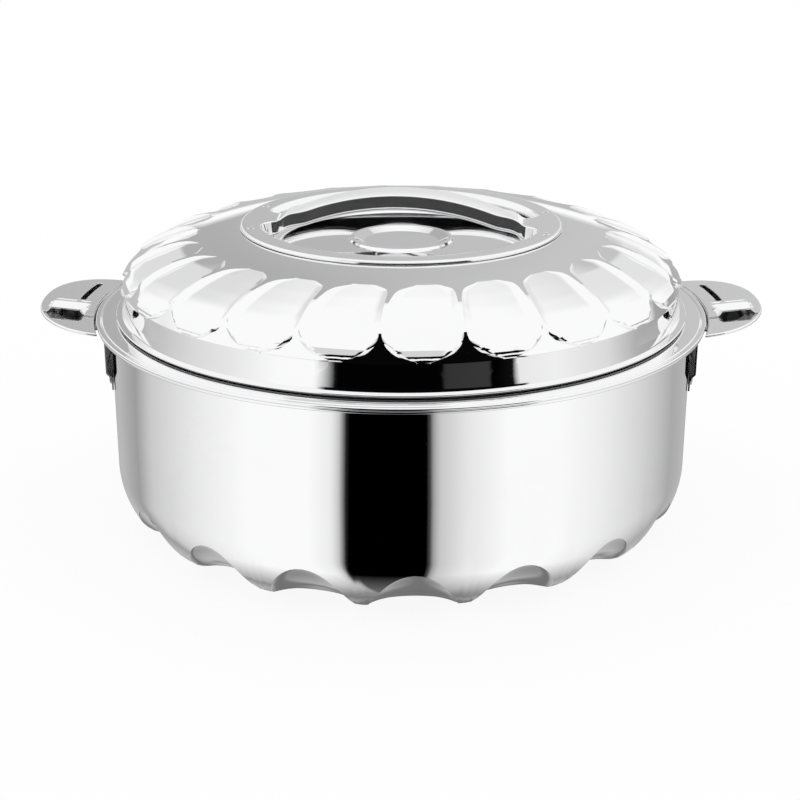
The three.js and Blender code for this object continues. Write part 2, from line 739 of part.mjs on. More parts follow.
// The raised lip of the cover, open towards the front.
function louvre(inset, drop) {
  const back = -inset;
  const front = -EAR_SEAM - inset * CUT_MARGIN;
  const low = -SHEET - inset;
  const rise = LOUVRE_RISE - drop;
  const corners = [
    [LOUVRE_INNER + inset, back, low], [LOUVRE_OUTER - inset, back, low],
    [LOUVRE_INNER + inset, front, low], [LOUVRE_OUTER - inset, front, low],
    [LOUVRE_INNER + inset, back, -drop], [LOUVRE_OUTER - inset, back, -drop],
    [LOUVRE_INNER + inset, front, -drop], [LOUVRE_OUTER - inset, front, -drop],
    [LOUVRE_INNER + LOUVRE_SLOPE + inset, front, rise], [LOUVRE_OUTER - LOUVRE_SLOPE - inset, front, rise],
  ];
  return closedBody(new ConvexGeometry(corners.map((corner) => new THREE.Vector3(...corner))));
}

function earCover() {
  const sheet = slab(earOutline(EAR_COVER_INSET, EAR_INNER_RADIUS), -SHEET, SHEET);
  const front = slab(
    [at(0, seamStart), at(2 * EAR_PIVOT, seamStart), at(2 * EAR_PIVOT, -EAR_SEAM), at(0, -EAR_SEAM)],
    -SHEET - CUT_MARGIN,
    SHEET + 2 * CUT_MARGIN,
  );
  const slotInner = earArc(SLOT_RADIUS - SLOT_WIDTH / 2, SLOT_START, SLOT_START + SLOT_LENGTH);
  const slotOuter = earArc(SLOT_RADIUS + SLOT_WIDTH / 2, SLOT_START, SLOT_START + SLOT_LENGTH);
  const slot = slab([...slotInner.reverse(), ...slotOuter], -SHEET - CUT_MARGIN, SHEET + 2 * CUT_MARGIN);
  const flat = without(toManifold(sheet), [front]);
  return without(flat.add(toManifold(louvre(0, 0))), [louvre(SHEET, SHEET), slot]);
}

// Moves a piece drawn flat at its own height to its place on the pot, on the right or the left.
function onPot(manifold, side) {
  const geometry = fromManifold(manifold);
  geometry.translate(-EAR_PIVOT, 0, 0);
  geometry.rotateY(-degrees(EAR_TILT));
  geometry.translate(EAR_PIVOT, 0, RING_TOP - GAP);
  return mirrored(geometry, side);
}

function mirrored(geometry, side) {
  geometry.scale(side, 1, 1);
  return closedBody(geometry);
}

// Bracket: one folded strip from the wall out to the handle plate
const bracketFoot = flangeLow - BRACKET_HEIGHT;

function bracketLine() {
  const wall = WALL_RADIUS + GAP + SHEET;
  const stand = wall + BRACKET_JOGGLE;
  const arm = flangeLow - BRACKET_ARM_DROP;
  const footTop = bracketFoot + BRACKET_FOOT_HEIGHT;
  const lipRadius = RING_RADIUS + BRACKET_LIP_REACH;
  return [
    at(wall, bracketFoot),
    at(wall, footTop),
    at(stand, footTop + BRACKET_JOGGLE),
    at(stand, arm),
    at(lipRadius, arm),
    at(lipRadius, RING_TOP - BRACKET_LIP_DROP),
  ];
}

function bracketRivetAxis(turn) {
  return new THREE.Vector3(Math.cos(degrees(turn)), Math.sin(degrees(turn)), 0);
}

// Lays a body that stands on the vertical axis along a horizontal direction, at a radius and a height.
function laidAlong(geometry, direction, radius, height) {
  geometry.applyQuaternion(new THREE.Quaternion().setFromUnitVectors(new THREE.Vector3(0, 0, 1), direction));
  geometry.translate(direction.x * radius, direction.y * radius, height);
  return geometry;
}

const bracketHoleHeight = bracketFoot + BRACKET_FOOT_HEIGHT / 2;

function bracket(side) {
  const line = bracketLine();
  const profile = [...line, ...offsetLine(line, SHEET).reverse()];
  const strip = turned(() => profile, partTurn(RIGHT_ANGLE, BRACKET_HALF_TURN, SECTOR_STEPS));
  const holes = [BRACKET_RIVET_TURN, -BRACKET_RIVET_TURN].map((turn) => {
    const hole = slab(circle(BRACKET_RIVET_SHANK + RIVET_CLEARANCE, SMALL_COLUMNS), 0, 2 * BRACKET_JOGGLE);
    return laidAlong(hole, bracketRivetAxis(turn), WALL_RADIUS - BRACKET_JOGGLE / 2, bracketHoleHeight);
  });
  return mirrored(fromManifold(without(toManifold(strip), holes)), side);
}

function bracketRivet(side, turn) {
  const seat = WALL_RADIUS + 2 * GAP + SHEET;
  const body = rivet(BRACKET_RIVET_HEAD, BRACKET_RIVET_SHANK, BRACKET_RIVET_CROWN, SHEET + GAP);
  return mirrored(laidAlong(body, bracketRivetAxis(turn), seat, bracketHoleHeight), side);
}

// Everything under its own name
const casserole = new THREE.Group();
casserole.name = "casserole";

const STEEL = { color: 0xd6d8da, metalness: 1, roughness: 0.12 };
const FOAM = { color: 0xe8d9a8, metalness: 0, roughness: 0.95 };

function place(name, geometry, look) {
  const mesh = new THREE.Mesh(geometry, new THREE.MeshStandardMaterial(look));
  mesh.name = name;
  mesh.geometry.computeVertexNormals();
  casserole.add(mesh);
}

function placeOnLid(name, geometry, look) {
  geometry.rotateZ(degrees(LID_TURN));
  place(name, geometry, look);
}

place("pot_outer_shell", outerShell(), STEEL);
place("pot_inner_bowl", innerBowl(), STEEL);
place("pot_insulation", bodyInsulation(), FOAM);

for (const [name, side] of [["right", 1], ["left", -1]]) {
  place(`${name}_handle_plate`, onPot(earPlate(), side), STEEL);
  place(`${name}_handle_cover`, onPot(earCover(), side), STEEL);
  place(`${name}_handle_bracket`, bracket(side), STEEL);
  place(`${name}_bracket_rivet_front`, bracketRivet(side, -BRACKET_RIVET_TURN), STEEL);
  place(`${name}_bracket_rivet_back`, bracketRivet(side, BRACKET_RIVET_TURN), STEEL);
}

placeOnLid("lid_outer_shell", lidOuterShell(), STEEL);
placeOnLid("lid_inner_cover", lidInnerCover(), STEEL);
placeOnLid("lid_insulation", lidInsulation(), FOAM);
placeOnLid("lid_handle", lidHandle(), STEEL);
discRivetPlaces.forEach((spot, index) => {
  placeOnLid(`lid_handle_rivet_${index + 1}`, discRivet(spot), STEEL);
});

export default casserole;
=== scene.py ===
# %% [markdown]
# A double-walled serving casserole in polished stainless steel. The real one is pressed and spun
# from thin sheet: an outer pot with dimples round its foot, a bowl that hangs in it by a wide rim,
# a lid with a ring of petals, a pressed disc with a bridge as the lid's handle, and two folded
# handles at the sides. Mirror steel shows every kink of its surface, so each piece is made as a
# smooth dense sheet with crisp folds only where the press left them.

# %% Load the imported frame
import math
import bpy
import bmesh
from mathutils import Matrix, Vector
from mathutils.geometry import delaunay_2d_cdt


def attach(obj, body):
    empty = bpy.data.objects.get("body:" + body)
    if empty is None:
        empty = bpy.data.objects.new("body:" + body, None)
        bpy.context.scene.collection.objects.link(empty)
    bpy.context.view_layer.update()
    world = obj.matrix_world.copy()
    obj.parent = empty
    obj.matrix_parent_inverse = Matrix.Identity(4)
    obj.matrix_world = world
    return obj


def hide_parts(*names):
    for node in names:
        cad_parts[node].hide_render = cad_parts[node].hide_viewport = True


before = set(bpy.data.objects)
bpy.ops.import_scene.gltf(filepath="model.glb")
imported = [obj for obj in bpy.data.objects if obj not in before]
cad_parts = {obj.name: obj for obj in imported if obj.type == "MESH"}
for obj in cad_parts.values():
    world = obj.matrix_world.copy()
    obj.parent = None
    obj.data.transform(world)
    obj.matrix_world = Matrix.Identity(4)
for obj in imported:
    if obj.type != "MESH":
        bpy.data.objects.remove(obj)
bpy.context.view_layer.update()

# %% [markdown]
# The sheet metal's sizes are in millimetres, as a workshop drawing has them, and a point becomes
# metres only when a mesh is written. Azimuths run from the front of the pot (-Y) towards its
# right-hand handle (+X).

# %% Sizes and small helpers
MM = 0.001
SHEET = 0.8
GAP = 0.3
RING_RADIUS = 152.5
RING_TOP = 105.7
LID_TURN = -4.5
SIDES = ((1, "right"), (-1, "left"))


def around(radius, height, azimuth):
    """A point at a radius, a height and an azimuth."""
    turn = math.radians(azimuth)
    return Vector((radius * math.sin(turn), -radius * math.cos(turn), height))


def smooth_step(low, high, value):
    """0 below low, 1 above high and a soft curve between."""
    share = min(max((value - low) / (high - low), 0.0), 1.0)
    return share * share * (3 - 2 * share)


print("front of the rim:", tuple(around(RING_RADIUS, RING_TOP, 0.0)))

# %% [markdown]
# A press or a lathe tool can't leave a sharp corner, so a section is drawn as corners that each
# have a bending radius, and one function puts the arcs in. Blender's Bevel modifier could round
# the finished mesh instead, but it would also round the folds that have to stay crisp.

# %% Sections with rounded corners
MOST_OF_A_SIDE = 0.499


def rounded(corners, steps=6, closed=True):
    """A line through (x, y, radius) corners, where a corner that has a radius becomes an arc."""
    line = []
    count = len(corners)
    for index, (x, y, radius) in enumerate(corners):
        here = Vector((x, y))
        if radius == 0 or (not closed and index in (0, count - 1)):
            line.append(here)
            continue
        back = Vector(corners[index - 1][:2]) - here
        onward = Vector(corners[(index + 1) % count][:2]) - here
        half = back.angle(onward) / 2
        reach = min(radius / math.tan(half), back.length * MOST_OF_A_SIDE, onward.length * MOST_OF_A_SIDE)
        start = here + back.normalized() * reach
        end = here + onward.normalized() * reach
        inward = (back.normalized() + onward.normalized()).normalized()
        centre = here + inward * (reach / math.cos(half))
        first = math.atan2(start.y - centre.y, start.x - centre.x)
        last = math.atan2(end.y - centre.y, end.x - centre.x)
        sweep = (last - first + math.pi) % (2 * math.pi) - math.pi
        size = (start - centre).length
        for step in range(steps + 1):
            turn = first + sweep * step / steps
            line.append(Vector((centre.x + size * math.cos(turn), centre.y + size * math.sin(turn))))
    return line


print("a square corner of 2 mm as an arc:", rounded([(0, 9, 0), (0, 0, 2.0), (9, 0, 0)], 2, False))

# %% [markdown]
# Every piece becomes a plain closed mesh: equal points merged, normals facing out, smooth shading
# with sharp edges only at real folds. One helper does this for all of them, so that no piece is
# left open or inside out, and it prints how many edges are open.

# %% Make and close a mesh
WELD = 0.004


def mesh_piece(name, points, faces):
    """A new mesh object from points in millimetres."""
    mesh = bpy.data.meshes.new(name)
    mesh.from_pydata([tuple(value * MM for value in point) for point in points], [], faces)
    piece = bpy.data.objects.new(name, mesh)
    bpy.context.collection.objects.link(piece)
    return piece


def close_up(piece, fold):
    """Merges doubles, turns the faces outwards and shades smooth up to a fold angle in degrees."""
    shell = bmesh.new()
    shell.from_mesh(piece.data)
    bmesh.ops.remove_doubles(shell, verts=shell.verts, dist=WELD * MM)
    loose = [vertex for vertex in shell.verts if not vertex.link_faces]
    bmesh.ops.delete(shell, geom=loose, context="VERTS")
    wires = [edge for edge in shell.edges if not edge.link_faces]
    bmesh.ops.delete(shell, geom=wires, context="EDGES")
    bmesh.ops.recalc_face_normals(shell, faces=shell.faces)
    open_edges = sum(1 for edge in shell.edges if len(edge.link_faces) != 2)
    if shell.calc_volume(signed=True) < 0:
        bmesh.ops.reverse_faces(shell, faces=shell.faces)
    shell.to_mesh(piece.data)
    shell.free()
    piece.data.shade_smooth()
    piece.data.set_sharp_from_angle(angle=math.radians(fold))
    triangles = sum(len(face.vertices) - 2 for face in piece.data.polygons)
    print(piece.name, triangles, "triangles,", open_edges, "open edges")
    return piece


def strip_faces(rows, columns, around_rows=True, around_columns=True):
    """Faces of a grid kept column by column, closed along its rows or columns or both."""
    faces = []
    for column in range(columns if around_columns else columns - 1):
        here = column * rows
        beside = ((column + 1) % columns) * rows
        for row in range(rows if around_rows else rows - 1):
            above = (row + 1) % rows
            faces.append((here + row, beside + row, beside + above, here + above))
    return faces


def turned(profile, columns):
    """Points and faces of a closed profile spun once round the pot's axis."""
    points = []
    for column in range(columns):
        azimuth = 360.0 * column / columns
        points.extend(around(place.x, place.y, azimuth) for place in profile)
    return points, strip_faces(len(profile), columns)


print("faces of a ring of 3 by 8 corners:", len(strip_faces(3, 8)))

# %% [markdown]
# The petals and the dimples repeat round the axis, so Geometry Nodes make the copies: one sector
# is modelled, and a tree with the count as an input sets it round the axis, welds the seams and
# puts the finish on. An Array modifier could copy too, but it wouldn't put the finish on. A tree
# is written as a list of its nodes and a list of its links.

# %% Tree that sets a sector round the axis
def feed(node, inputs):
    """Gives a node its inputs, each a plain value or the output of another node."""
    for title, value in inputs.items():
        if isinstance(value, bpy.types.NodeSocket):
            node.id_data.links.new(value, node.inputs[title])
        else:
            node.inputs[title].default_value = value
    return node


def add(tree, kind, inputs=None, **settings):
    """A new node with its settings and its inputs."""
    node = tree.nodes.new(kind)
    for title, value in settings.items():
        setattr(node, title, value)
    return feed(node, inputs or {})


def new_tree(name, inputs, nodes, settings, links):
    """A geometry tree, with the identifiers of its inputs and its nodes by their short names."""
    tree = bpy.data.node_groups.new(name, "GeometryNodeTree")
    tree.interface.new_socket(name="Geometry", in_out="OUTPUT", socket_type="NodeSocketGeometry")
    tree.interface.new_socket(name="Geometry", in_out="INPUT", socket_type="NodeSocketGeometry")
    identifiers = {}
    for title, kind in inputs.items():
        socket = tree.interface.new_socket(name=title, in_out="INPUT", socket_type=kind)
        identifiers[title] = socket.identifier
    made = {}
    for title, kind in nodes.items():
        made[title] = add(tree, kind, **settings.get(title, {}))
    for start, output, end, target in links:
        tree.links.new(made[start].outputs[output], made[end].inputs[target])
    print(name, "has", len(made), "nodes")
    return tree, identifiers, made


ring_tree, ring_inputs, ring_nodes = new_tree(
    "sectors round the axis",
    {"Count": "NodeSocketInt", "Weld Distance": "NodeSocketFloat", "Finish": "NodeSocketMaterial"},
    {
        "in": "NodeGroupInput",
        "points": "GeometryNodePoints",
        "index": "GeometryNodeInputIndex",
        "share": "ShaderNodeMath",
        "angle": "ShaderNodeMath",
        "euler": "ShaderNodeCombineXYZ",
        "rotation": "FunctionNodeEulerToRotation",
        "copies": "GeometryNodeInstanceOnPoints",
        "real": "GeometryNodeRealizeInstances",
        "weld": "GeometryNodeMergeByDistance",
        "finish": "GeometryNodeSetMaterial",
        "out": "NodeGroupOutput",
    },
    {"share": {"operation": "DIVIDE"}, "angle": {"operation": "MULTIPLY"}},
    [
        ("in", "Count", "points", "Count"),
        ("index", 0, "share", 0),
        ("in", "Count", "share", 1),
        ("share", 0, "angle", 0),
        ("angle", 0, "euler", "Z"),
        ("euler", 0, "rotation", 0),
        ("points", 0, "copies", "Points"),
        ("in", "Geometry", "copies", "Instance"),
        ("rotation", 0, "copies", "Rotation"),
        ("copies", 0, "real", 0),
        ("real", 0, "weld", "Geometry"),
        ("in", "Weld Distance", "weld", "Distance"),
        ("weld", 0, "finish", "Geometry"),
        ("in", "Finish", "finish", "Material"),
        ("finish", 0, "out", 0),
    ],
)
feed(ring_nodes["angle"], {1: 2 * math.pi})

# %% [markdown]
# The studs are all of one form. A second tree takes one stud as an object and sets it on points,
# each of which carries its own direction in an attribute. Whatever a tree makes is then kept as a
# plain mesh, and the modifier goes.

# %% Tree that sets studs, and the plain mesh of a tree
stud_tree, stud_inputs, stud_nodes = new_tree(
    "studs at their places",
    {"Stud": "NodeSocketObject", "Size": "NodeSocketFloat", "Finish": "NodeSocketMaterial"},
    {
        "in": "NodeGroupInput",
        "shape": "GeometryNodeObjectInfo",
        "aim": "GeometryNodeInputNamedAttribute",
        "turn": "FunctionNodeAlignRotationToVector",
        "copies": "GeometryNodeInstanceOnPoints",
        "real": "GeometryNodeRealizeInstances",
        "finish": "GeometryNodeSetMaterial",
        "out": "NodeGroupOutput",
    },
    {"aim": {"data_type": "FLOAT_VECTOR"}, "turn": {"axis": "Z"}},
    [
        ("in", "Stud", "shape", 0),
        ("in", "Geometry", "copies", "Points"),
        ("shape", "Geometry", "copies", "Instance"),
        ("aim", "Attribute", "turn", "Vector"),
        ("turn", 0, "copies", "Rotation"),
        ("in", "Size", "copies", "Scale"),
        ("copies", 0, "real", 0),
        ("real", 0, "finish", "Geometry"),
        ("in", "Finish", "finish", "Material"),
        ("finish", 0, "out", 0),
    ],
)
feed(stud_nodes["aim"], {"Name": "aim"})


def baked(piece, tree, identifiers, values):
    """Runs a tree on a piece and keeps the outcome as its plain mesh."""
    modifier = piece.modifiers.new(tree.name, "NODES")
    modifier.node_group = tree
    for title, value in values.items():
        modifier[identifiers[title]] = value
    bpy.context.view_layer.update()
    graph = bpy.context.evaluated_depsgraph_get()
    mesh = bpy.data.meshes.new_from_object(piece.evaluated_get(graph), depsgraph=graph)
    piece.modifiers.clear()
    rough = piece.data
    piece.data = mesh
    bpy.data.meshes.remove(rough)
    return piece


print("inputs of the trees:", list(ring_inputs), list(stud_inputs))

# %% [markdown]
# Polished sheet isn't perfectly plain: wiping leaves hair-fine scratches, and fingers leave faint
# smudges. A node group holds both. It gives only values that vary over the surface, and each
# steel places it with its own strength.

# %% Node group for wiping marks
def new_group(name, inputs, outputs):
    """A shader group with float inputs, all 1 at first, and float outputs."""
    group = bpy.data.node_groups.new(name, "ShaderNodeTree")
    for title in inputs:
        socket = group.interface.new_socket(name=title, in_out="INPUT", socket_type="NodeSocketFloat")
        socket.default_value = 1.0
    for title in outputs:
        group.interface.new_socket(name=title, in_out="OUTPUT", socket_type="NodeSocketFloat")
    return group


def noise(tree, vector, scale, detail, roughness=0.5):
    """A noise texture read at a vector, its value between 0 and 1."""
    inputs = {"Vector": vector, "Scale": scale, "Detail": detail, "Roughness": roughness}
    return add(tree, "ShaderNodeTexNoise", inputs).outputs["Fac"]


def spread(tree, value, low, high, new_low=0.0, new_high=1.0):
    """A value moved from one range to another and held inside it."""
    inputs = {"Value": value, "From Min": low, "From Max": high, "To Min": new_low, "To Max": new_high}
    return add(tree, "ShaderNodeMapRange", inputs).outputs["Result"]


def math_node(tree, operation, *values):
    """One calculation on sockets or plain numbers."""
    return add(tree, "ShaderNodeMath", dict(enumerate(values)), operation=operation).outputs[0]


SMUDGE_ROUGHNESS = 0.05
SMUDGE_DARKENING = 0.03
SCRATCH_ROUGHNESS = 0.03
SCRATCH_WAYS = ((0.5, (40.0, 2600.0, 900.0)), (1.9, (2300.0, 60.0, 1300.0)))

wipe = new_group("wiping marks", ["Smudge", "Scratch"], ["Roughness", "Height", "Tone"])
wipe_in = add(wipe, "NodeGroupInput").outputs
wipe_place = add(wipe, "ShaderNodeTexCoord").outputs["Object"]
smudge_wide = spread(wipe, noise(wipe, wipe_place, 14.0, 3.0, 0.6), 0.45, 0.75)
smudge_fine = spread(wipe, noise(wipe, wipe_place, 90.0, 4.0, 0.65), 0.35, 0.8)
smudge = math_node(wipe, "MULTIPLY", smudge_wide, smudge_fine)
smudge = math_node(wipe, "MULTIPLY", smudge, wipe_in["Smudge"])
wipe_lines = []
for turn, stretch in SCRATCH_WAYS:
    wipe_map = add(wipe, "ShaderNodeMapping", {
        "Vector": wipe_place, "Rotation": (0.3 * turn, 0.2, turn), "Scale": stretch,
    })
    wipe_lines.append(spread(wipe, noise(wipe, wipe_map.outputs[0], 1.0, 1.0), 0.62, 0.78))
scratch = math_node(wipe, "MAXIMUM", wipe_lines[0], wipe_lines[1])
scratch = math_node(wipe, "MULTIPLY", scratch, wipe_in["Scratch"])
smudge_rough = math_node(wipe, "MULTIPLY", smudge, SMUDGE_ROUGHNESS)
scratch_rough = math_node(wipe, "MULTIPLY", scratch, SCRATCH_ROUGHNESS)
smudge_dark = math_node(wipe, "MULTIPLY", smudge, SMUDGE_DARKENING)
add(wipe, "NodeGroupOutput", {
    "Roughness": math_node(wipe, "ADD", smudge_rough, scratch_rough),
    "Height": scratch,
    "Tone": math_node(wipe, "SUBTRACT", 1.0, smudge_dark),
})
print("wiping marks:", len(wipe.nodes), "nodes")

# %% [markdown]
# A bowl that is spun keeps the lathe's brushing, fine rings round the axis. The noise is read at
# the radius, the height and a little of the azimuth, which draws it out into rings. A turned image
# would do too, but this one has no seam and no limit of sharpness.

# %% Node group for spun brushing
RINGS_PER_METRE = 3200.0
RING_DRIFT = 1.4

spun = new_group("spun brushing", [], ["Grain"])
spun_place = add(spun, "ShaderNodeTexCoord").outputs["Object"]
spun_x, spun_y, spun_z = add(spun, "ShaderNodeSeparateXYZ", {0: spun_place}).outputs
spun_across = math_node(spun, "MULTIPLY", spun_x, spun_x)
spun_along = math_node(spun, "MULTIPLY", spun_y, spun_y)
spun_radius = math_node(spun, "SQRT", math_node(spun, "ADD", spun_across, spun_along))
spun_azimuth = math_node(spun, "ARCTAN2", spun_x, spun_y)
spun_line = add(spun, "ShaderNodeCombineXYZ", {
    "X": math_node(spun, "MULTIPLY", spun_radius, RINGS_PER_METRE),
    "Y": math_node(spun, "MULTIPLY", spun_z, RINGS_PER_METRE),
    "Z": math_node(spun, "MULTIPLY", spun_azimuth, RING_DRIFT),
})
add(spun, "NodeGroupOutput", {"Grain": noise(spun, spun_line.outputs[0], 1.0, 3.0, 0.6)})
print("spun brushing:", len(spun.nodes), "nodes")

# %% [markdown]
# The steels differ in finish, so one function makes them all. The outside of pot and lid is a
# mirror whose roughness the wiping marks only lift a little. Rim and handles are bright, the studs
# a little duller, and the top of the bridge is hazy from hands. The inside of the bowl keeps the
# lathe's satin. A near-black steel paints the shade in the seams and under the handles' covers, the
# open pocket is duller and a little darker as painted shade of the hollow, and the brackets are a
# darker, duller steel.

# %% Steels
BUMP_HEIGHT = 0.02 * MM
HAZE_ROUGHNESS = 0.7
GRAIN_MIDDLE = 0.5
GRAIN_BUMP = 2.0


def steel(name, colour, roughness, smudge_size, scratch_size, bump, grain=0.0, haze=0.0):
    """A stainless steel with wiping marks, and with a spun grain or a soft haze where it has one."""
    material = bpy.data.materials.new(name)
    material.use_nodes = True
    tree = material.node_tree
    shader = tree.nodes["Principled BSDF"]
    marks = add(tree, "ShaderNodeGroup", {"Smudge": smudge_size, "Scratch": scratch_size}, node_tree=wipe)
    rough = math_node(tree, "ADD", marks.outputs["Roughness"], roughness)
    height = marks.outputs["Height"]
    if grain > 0:
        lathe = add(tree, "ShaderNodeGroup", node_tree=spun).outputs["Grain"]
        unevenness = math_node(tree, "SUBTRACT", lathe, GRAIN_MIDDLE)
        rough = math_node(tree, "ADD", rough, math_node(tree, "MULTIPLY", unevenness, grain))
        height = math_node(tree, "ADD", height, math_node(tree, "MULTIPLY", lathe, GRAIN_BUMP))
    tone = add(tree, "ShaderNodeMix", {
        "Factor": 1.0, "A": (*colour, 1.0), "B": marks.outputs["Tone"],
    }, data_type="RGBA", blend_type="MULTIPLY").outputs["Result"]
    relief = add(tree, "ShaderNodeBump", {"Strength": bump, "Distance": BUMP_HEIGHT, "Height": height})
    feed(shader, {"Metallic": 1.0, "Base Color": tone, "Roughness": rough, "Normal": relief.outputs[0]})
    if haze > 0:
        soft = add(tree, "ShaderNodeBsdfAnisotropic", {"Roughness": HAZE_ROUGHNESS, "Color": tone})
        both = add(tree, "ShaderNodeMixShader", {0: haze, 1: shader.outputs[0], 2: soft.outputs[0]})
        feed(tree.nodes["Material Output"], {"Surface": both.outputs[0]})
    return material


mirror_steel = steel("mirror steel", (0.955, 0.955, 0.96), 0.022, 1.0, 0.6, 0.05)
satin_steel = steel("satin steel", (0.93, 0.93, 0.935), 0.13, 1.0, 0.5, 0.25, grain=0.12)
rim_steel = steel("rim steel", (0.95, 0.95, 0.955), 0.03, 1.0, 0.6, 0.05)
handle_finish = steel("handle steel", (0.95, 0.95, 0.955), 0.035, 1.2, 0.9, 0.08, haze=0.12)
stud_steel = steel("stud steel", (0.9, 0.9, 0.91), 0.12, 1.0, 0.5, 0.15)
strap_steel = steel("strap steel", (0.97, 0.97, 0.975), 0.08, 1.0, 0.8, 0.15, haze=0.85)
# A near-black steel that paints the shade in seams and under the handles' covers.
painted_shade_steel = steel("painted shade steel", (0.16, 0.16, 0.165), 0.35, 1.0, 0.8, 0.3)
# A rougher steel for the open pocket, a little darker as painted shade of the hollow.
pocket_steel = steel("pocket steel", (0.82, 0.82, 0.825), 0.42, 1.0, 0.8, 0.3, grain=0.1)
bracket_steel = steel("bracket steel", (0.36, 0.36, 0.365), 0.16, 1.0, 0.8, 0.2)
print("nodes of the mirror steel:", len(mirror_steel.node_tree.nodes))

# %% [markdown]
# The foam between the walls is poured and sets with fine cells. A cell texture drives its
# roughness and a small bump, and a soft noise its two close yellows. It can't be seen from
# outside, so it gets no more than that.

# %% Foam material
FOAM_CELLS_PER_METRE = 900.0
FOAM_BUMP_HEIGHT = 0.4 * MM

foam = bpy.data.materials.new("insulating foam")
foam.use_nodes = True
foam_tree = foam.node_tree
foam_place = add(foam_tree, "ShaderNodeTexCoord").outputs["Object"]
foam_cells = add(foam_tree, "ShaderNodeTexVoronoi", {
    "Scale": FOAM_CELLS_PER_METRE, "Vector": foam_place,
}).outputs["Distance"]
foam_tone = add(foam_tree, "ShaderNodeValToRGB", {"Fac": noise(foam_tree, foam_place, 60.0, 4.0)})
foam_tone.color_ramp.elements[0].color = (0.78, 0.68, 0.42, 1.0)
foam_tone.color_ramp.elements[1].color = (0.90, 0.83, 0.62, 1.0)
foam_relief = add(foam_tree, "ShaderNodeBump", {
    "Strength": 0.6, "Distance": FOAM_BUMP_HEIGHT, "Height": foam_cells,
})
feed(foam_tree.nodes["Principled BSDF"], {
    "Base Color": foam_tone.outputs["Color"],
    "Roughness": spread(foam_tree, foam_cells, 0.0, 1.0, 0.8, 0.95),
    "Normal": foam_relief.outputs[0],
})
print("foam:", len(foam_tree.nodes), "nodes")

# %% [markdown]
# A finished piece has its material, rides on a body and stands for solids of the CAD. At a seam,
# faces of a turned sheet can be given a near-black steel that paints the shade between the parts.

# %% Finish a piece
def finished(piece, material, body, nodes):
    """Puts the finish on a piece, ties it to its body and hides the solids it stands for."""
    if not piece.data.materials:
        piece.data.materials.append(material)
    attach(piece, body)
    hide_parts(*nodes)
    return piece


def paint_seam_shade(piece, radius, height):
    """Paints the shade at the seams of a turned sheet with a near-black steel: what lies outside a radius and
    above a height.
    """
    piece.data.materials.append(painted_shade_steel)
    for face in piece.data.polygons:
        if math.hypot(face.center.x, face.center.y) > radius * MM and face.center.z > height * MM:
            face.material_index = 1


# %% [markdown]
# The pot's outer shell is a straight drum with a rounded foot. Eighteen shallow scallops are
# pressed into the foot, each an arch that is widest at the table and dies out at a crisp curved
# edge. Sculpting or a displacement map would blur that edge. Here the grid of one sector follows
# the arch, so the edge is a true line of the mesh, and the tree repeats the sector.

# %% Foot with its dimples
WALL_RADIUS = 145.5
CONTACT_RADIUS = 121.5
FOOT_HEIGHT = 30.0
DIMPLE_COUNT = 18
DIMPLE_TURN = 2.5
DIMPLE_DEPTH = 7.0
DIMPLE_WIDTH_SHARE = 0.94
DIMPLE_TOP_SHARE = 0.88
EDGE_CRISPNESS = 1.15
CRISPNESS_GAIN = 0.55
CRISPNESS_RISE = 0.45
PRESS_AT_TABLE = 0.4
PRESS_RISE = 0.35
ROWS_IN_DIMPLE = 16
ROWS_ABOVE_DIMPLE = 9


def foot_point(share, side, sheet):
    """A point of the foot: share 0 on the table and 1 at the wall, side -1 to 1 across a dimple."""
    turn = math.pi / 2 * share
    width = WALL_RADIUS - CONTACT_RADIUS
    normal = Vector((math.sin(turn) / width, -math.cos(turn) / FOOT_HEIGHT)).normalized()
    place = Vector((CONTACT_RADIUS + width * math.sin(turn), FOOT_HEIGHT * (1 - math.cos(turn))))
    room = 1 - (side / DIMPLE_WIDTH_SHARE) ** 2 - (share / DIMPLE_TOP_SHARE) ** 2
    crispness = EDGE_CRISPNESS - CRISPNESS_GAIN * smooth_step(0.0, CRISPNESS_RISE, share)
    strength = min(PRESS_AT_TABLE + share / PRESS_RISE, 1.0)
    press = DIMPLE_DEPTH * max(room, 0.0) ** crispness * strength
    place -= normal * (press + sheet)
    place.y = max(place.y, sheet)
    return place


def foot_shares(side):
    """Places up the foot: rows inside the dimple first, then rows up to the wall."""
    edge = DIMPLE_TOP_SHARE * math.sqrt(max(1 - (side / DIMPLE_WIDTH_SHARE) ** 2, 0.0))
    low = [edge * math.sin(math.pi / 2 * row / ROWS_IN_DIMPLE) for row in range(ROWS_IN_DIMPLE)]
    high = [edge + (1 - edge) * row / ROWS_ABOVE_DIMPLE for row in range(ROWS_ABOVE_DIMPLE + 1)]
    return low + high


deepest = max(
    (foot_point(share, 2.0, 0.0) - foot_point(share, 0.0, 0.0)).length for share in foot_shares(0.0)
)
print("deepest press of a dimple in mm:", round(deepest, 2))

# %% [markdown]
# Above the foot the shell goes straight up and turns out into the flange that carries the bowl's
# rim. A column of the sector runs up the outside and down the inside, so the sheet is closed. The
# inner skin of the foot lies half a millimetre further in, where it can't meet a pressed edge.

# %% Pot shell
FOOT_EXTRA = 0.5
SHELL_COLUMNS = 24
COLUMN_CROWDING = 0.8
BASE_CORNERS = ((0.0, 0.0), (99.0, 0.0), (100.0, 0.5), (102.0, 0.5), (103.0, 0.0))


def shell_column(side):
    """One column of the pot shell's sector, outside up and inside down."""
    shares = foot_shares(side)
    outside = [foot_point(share, side, 0.0) for share in shares]
    inside = [foot_point(share, side, SHEET + FOOT_EXTRA * (share < 1)) for share in reversed(shares)]
    rim = rounded([
        (WALL_RADIUS, 60.0, 0), (WALL_RADIUS, 102.7, 1.5), (152.0, 102.7, 0.6), (152.0, 104.2, 0.6),
        (WALL_RADIUS - SHEET, 104.2, 0), (WALL_RADIUS - SHEET, 60.0, 0),
    ], closed=False)
    base = [Vector(corner) for corner in BASE_CORNERS]
    return base + outside + rim + inside + [Vector((0.0, SHEET + FOOT_EXTRA))]


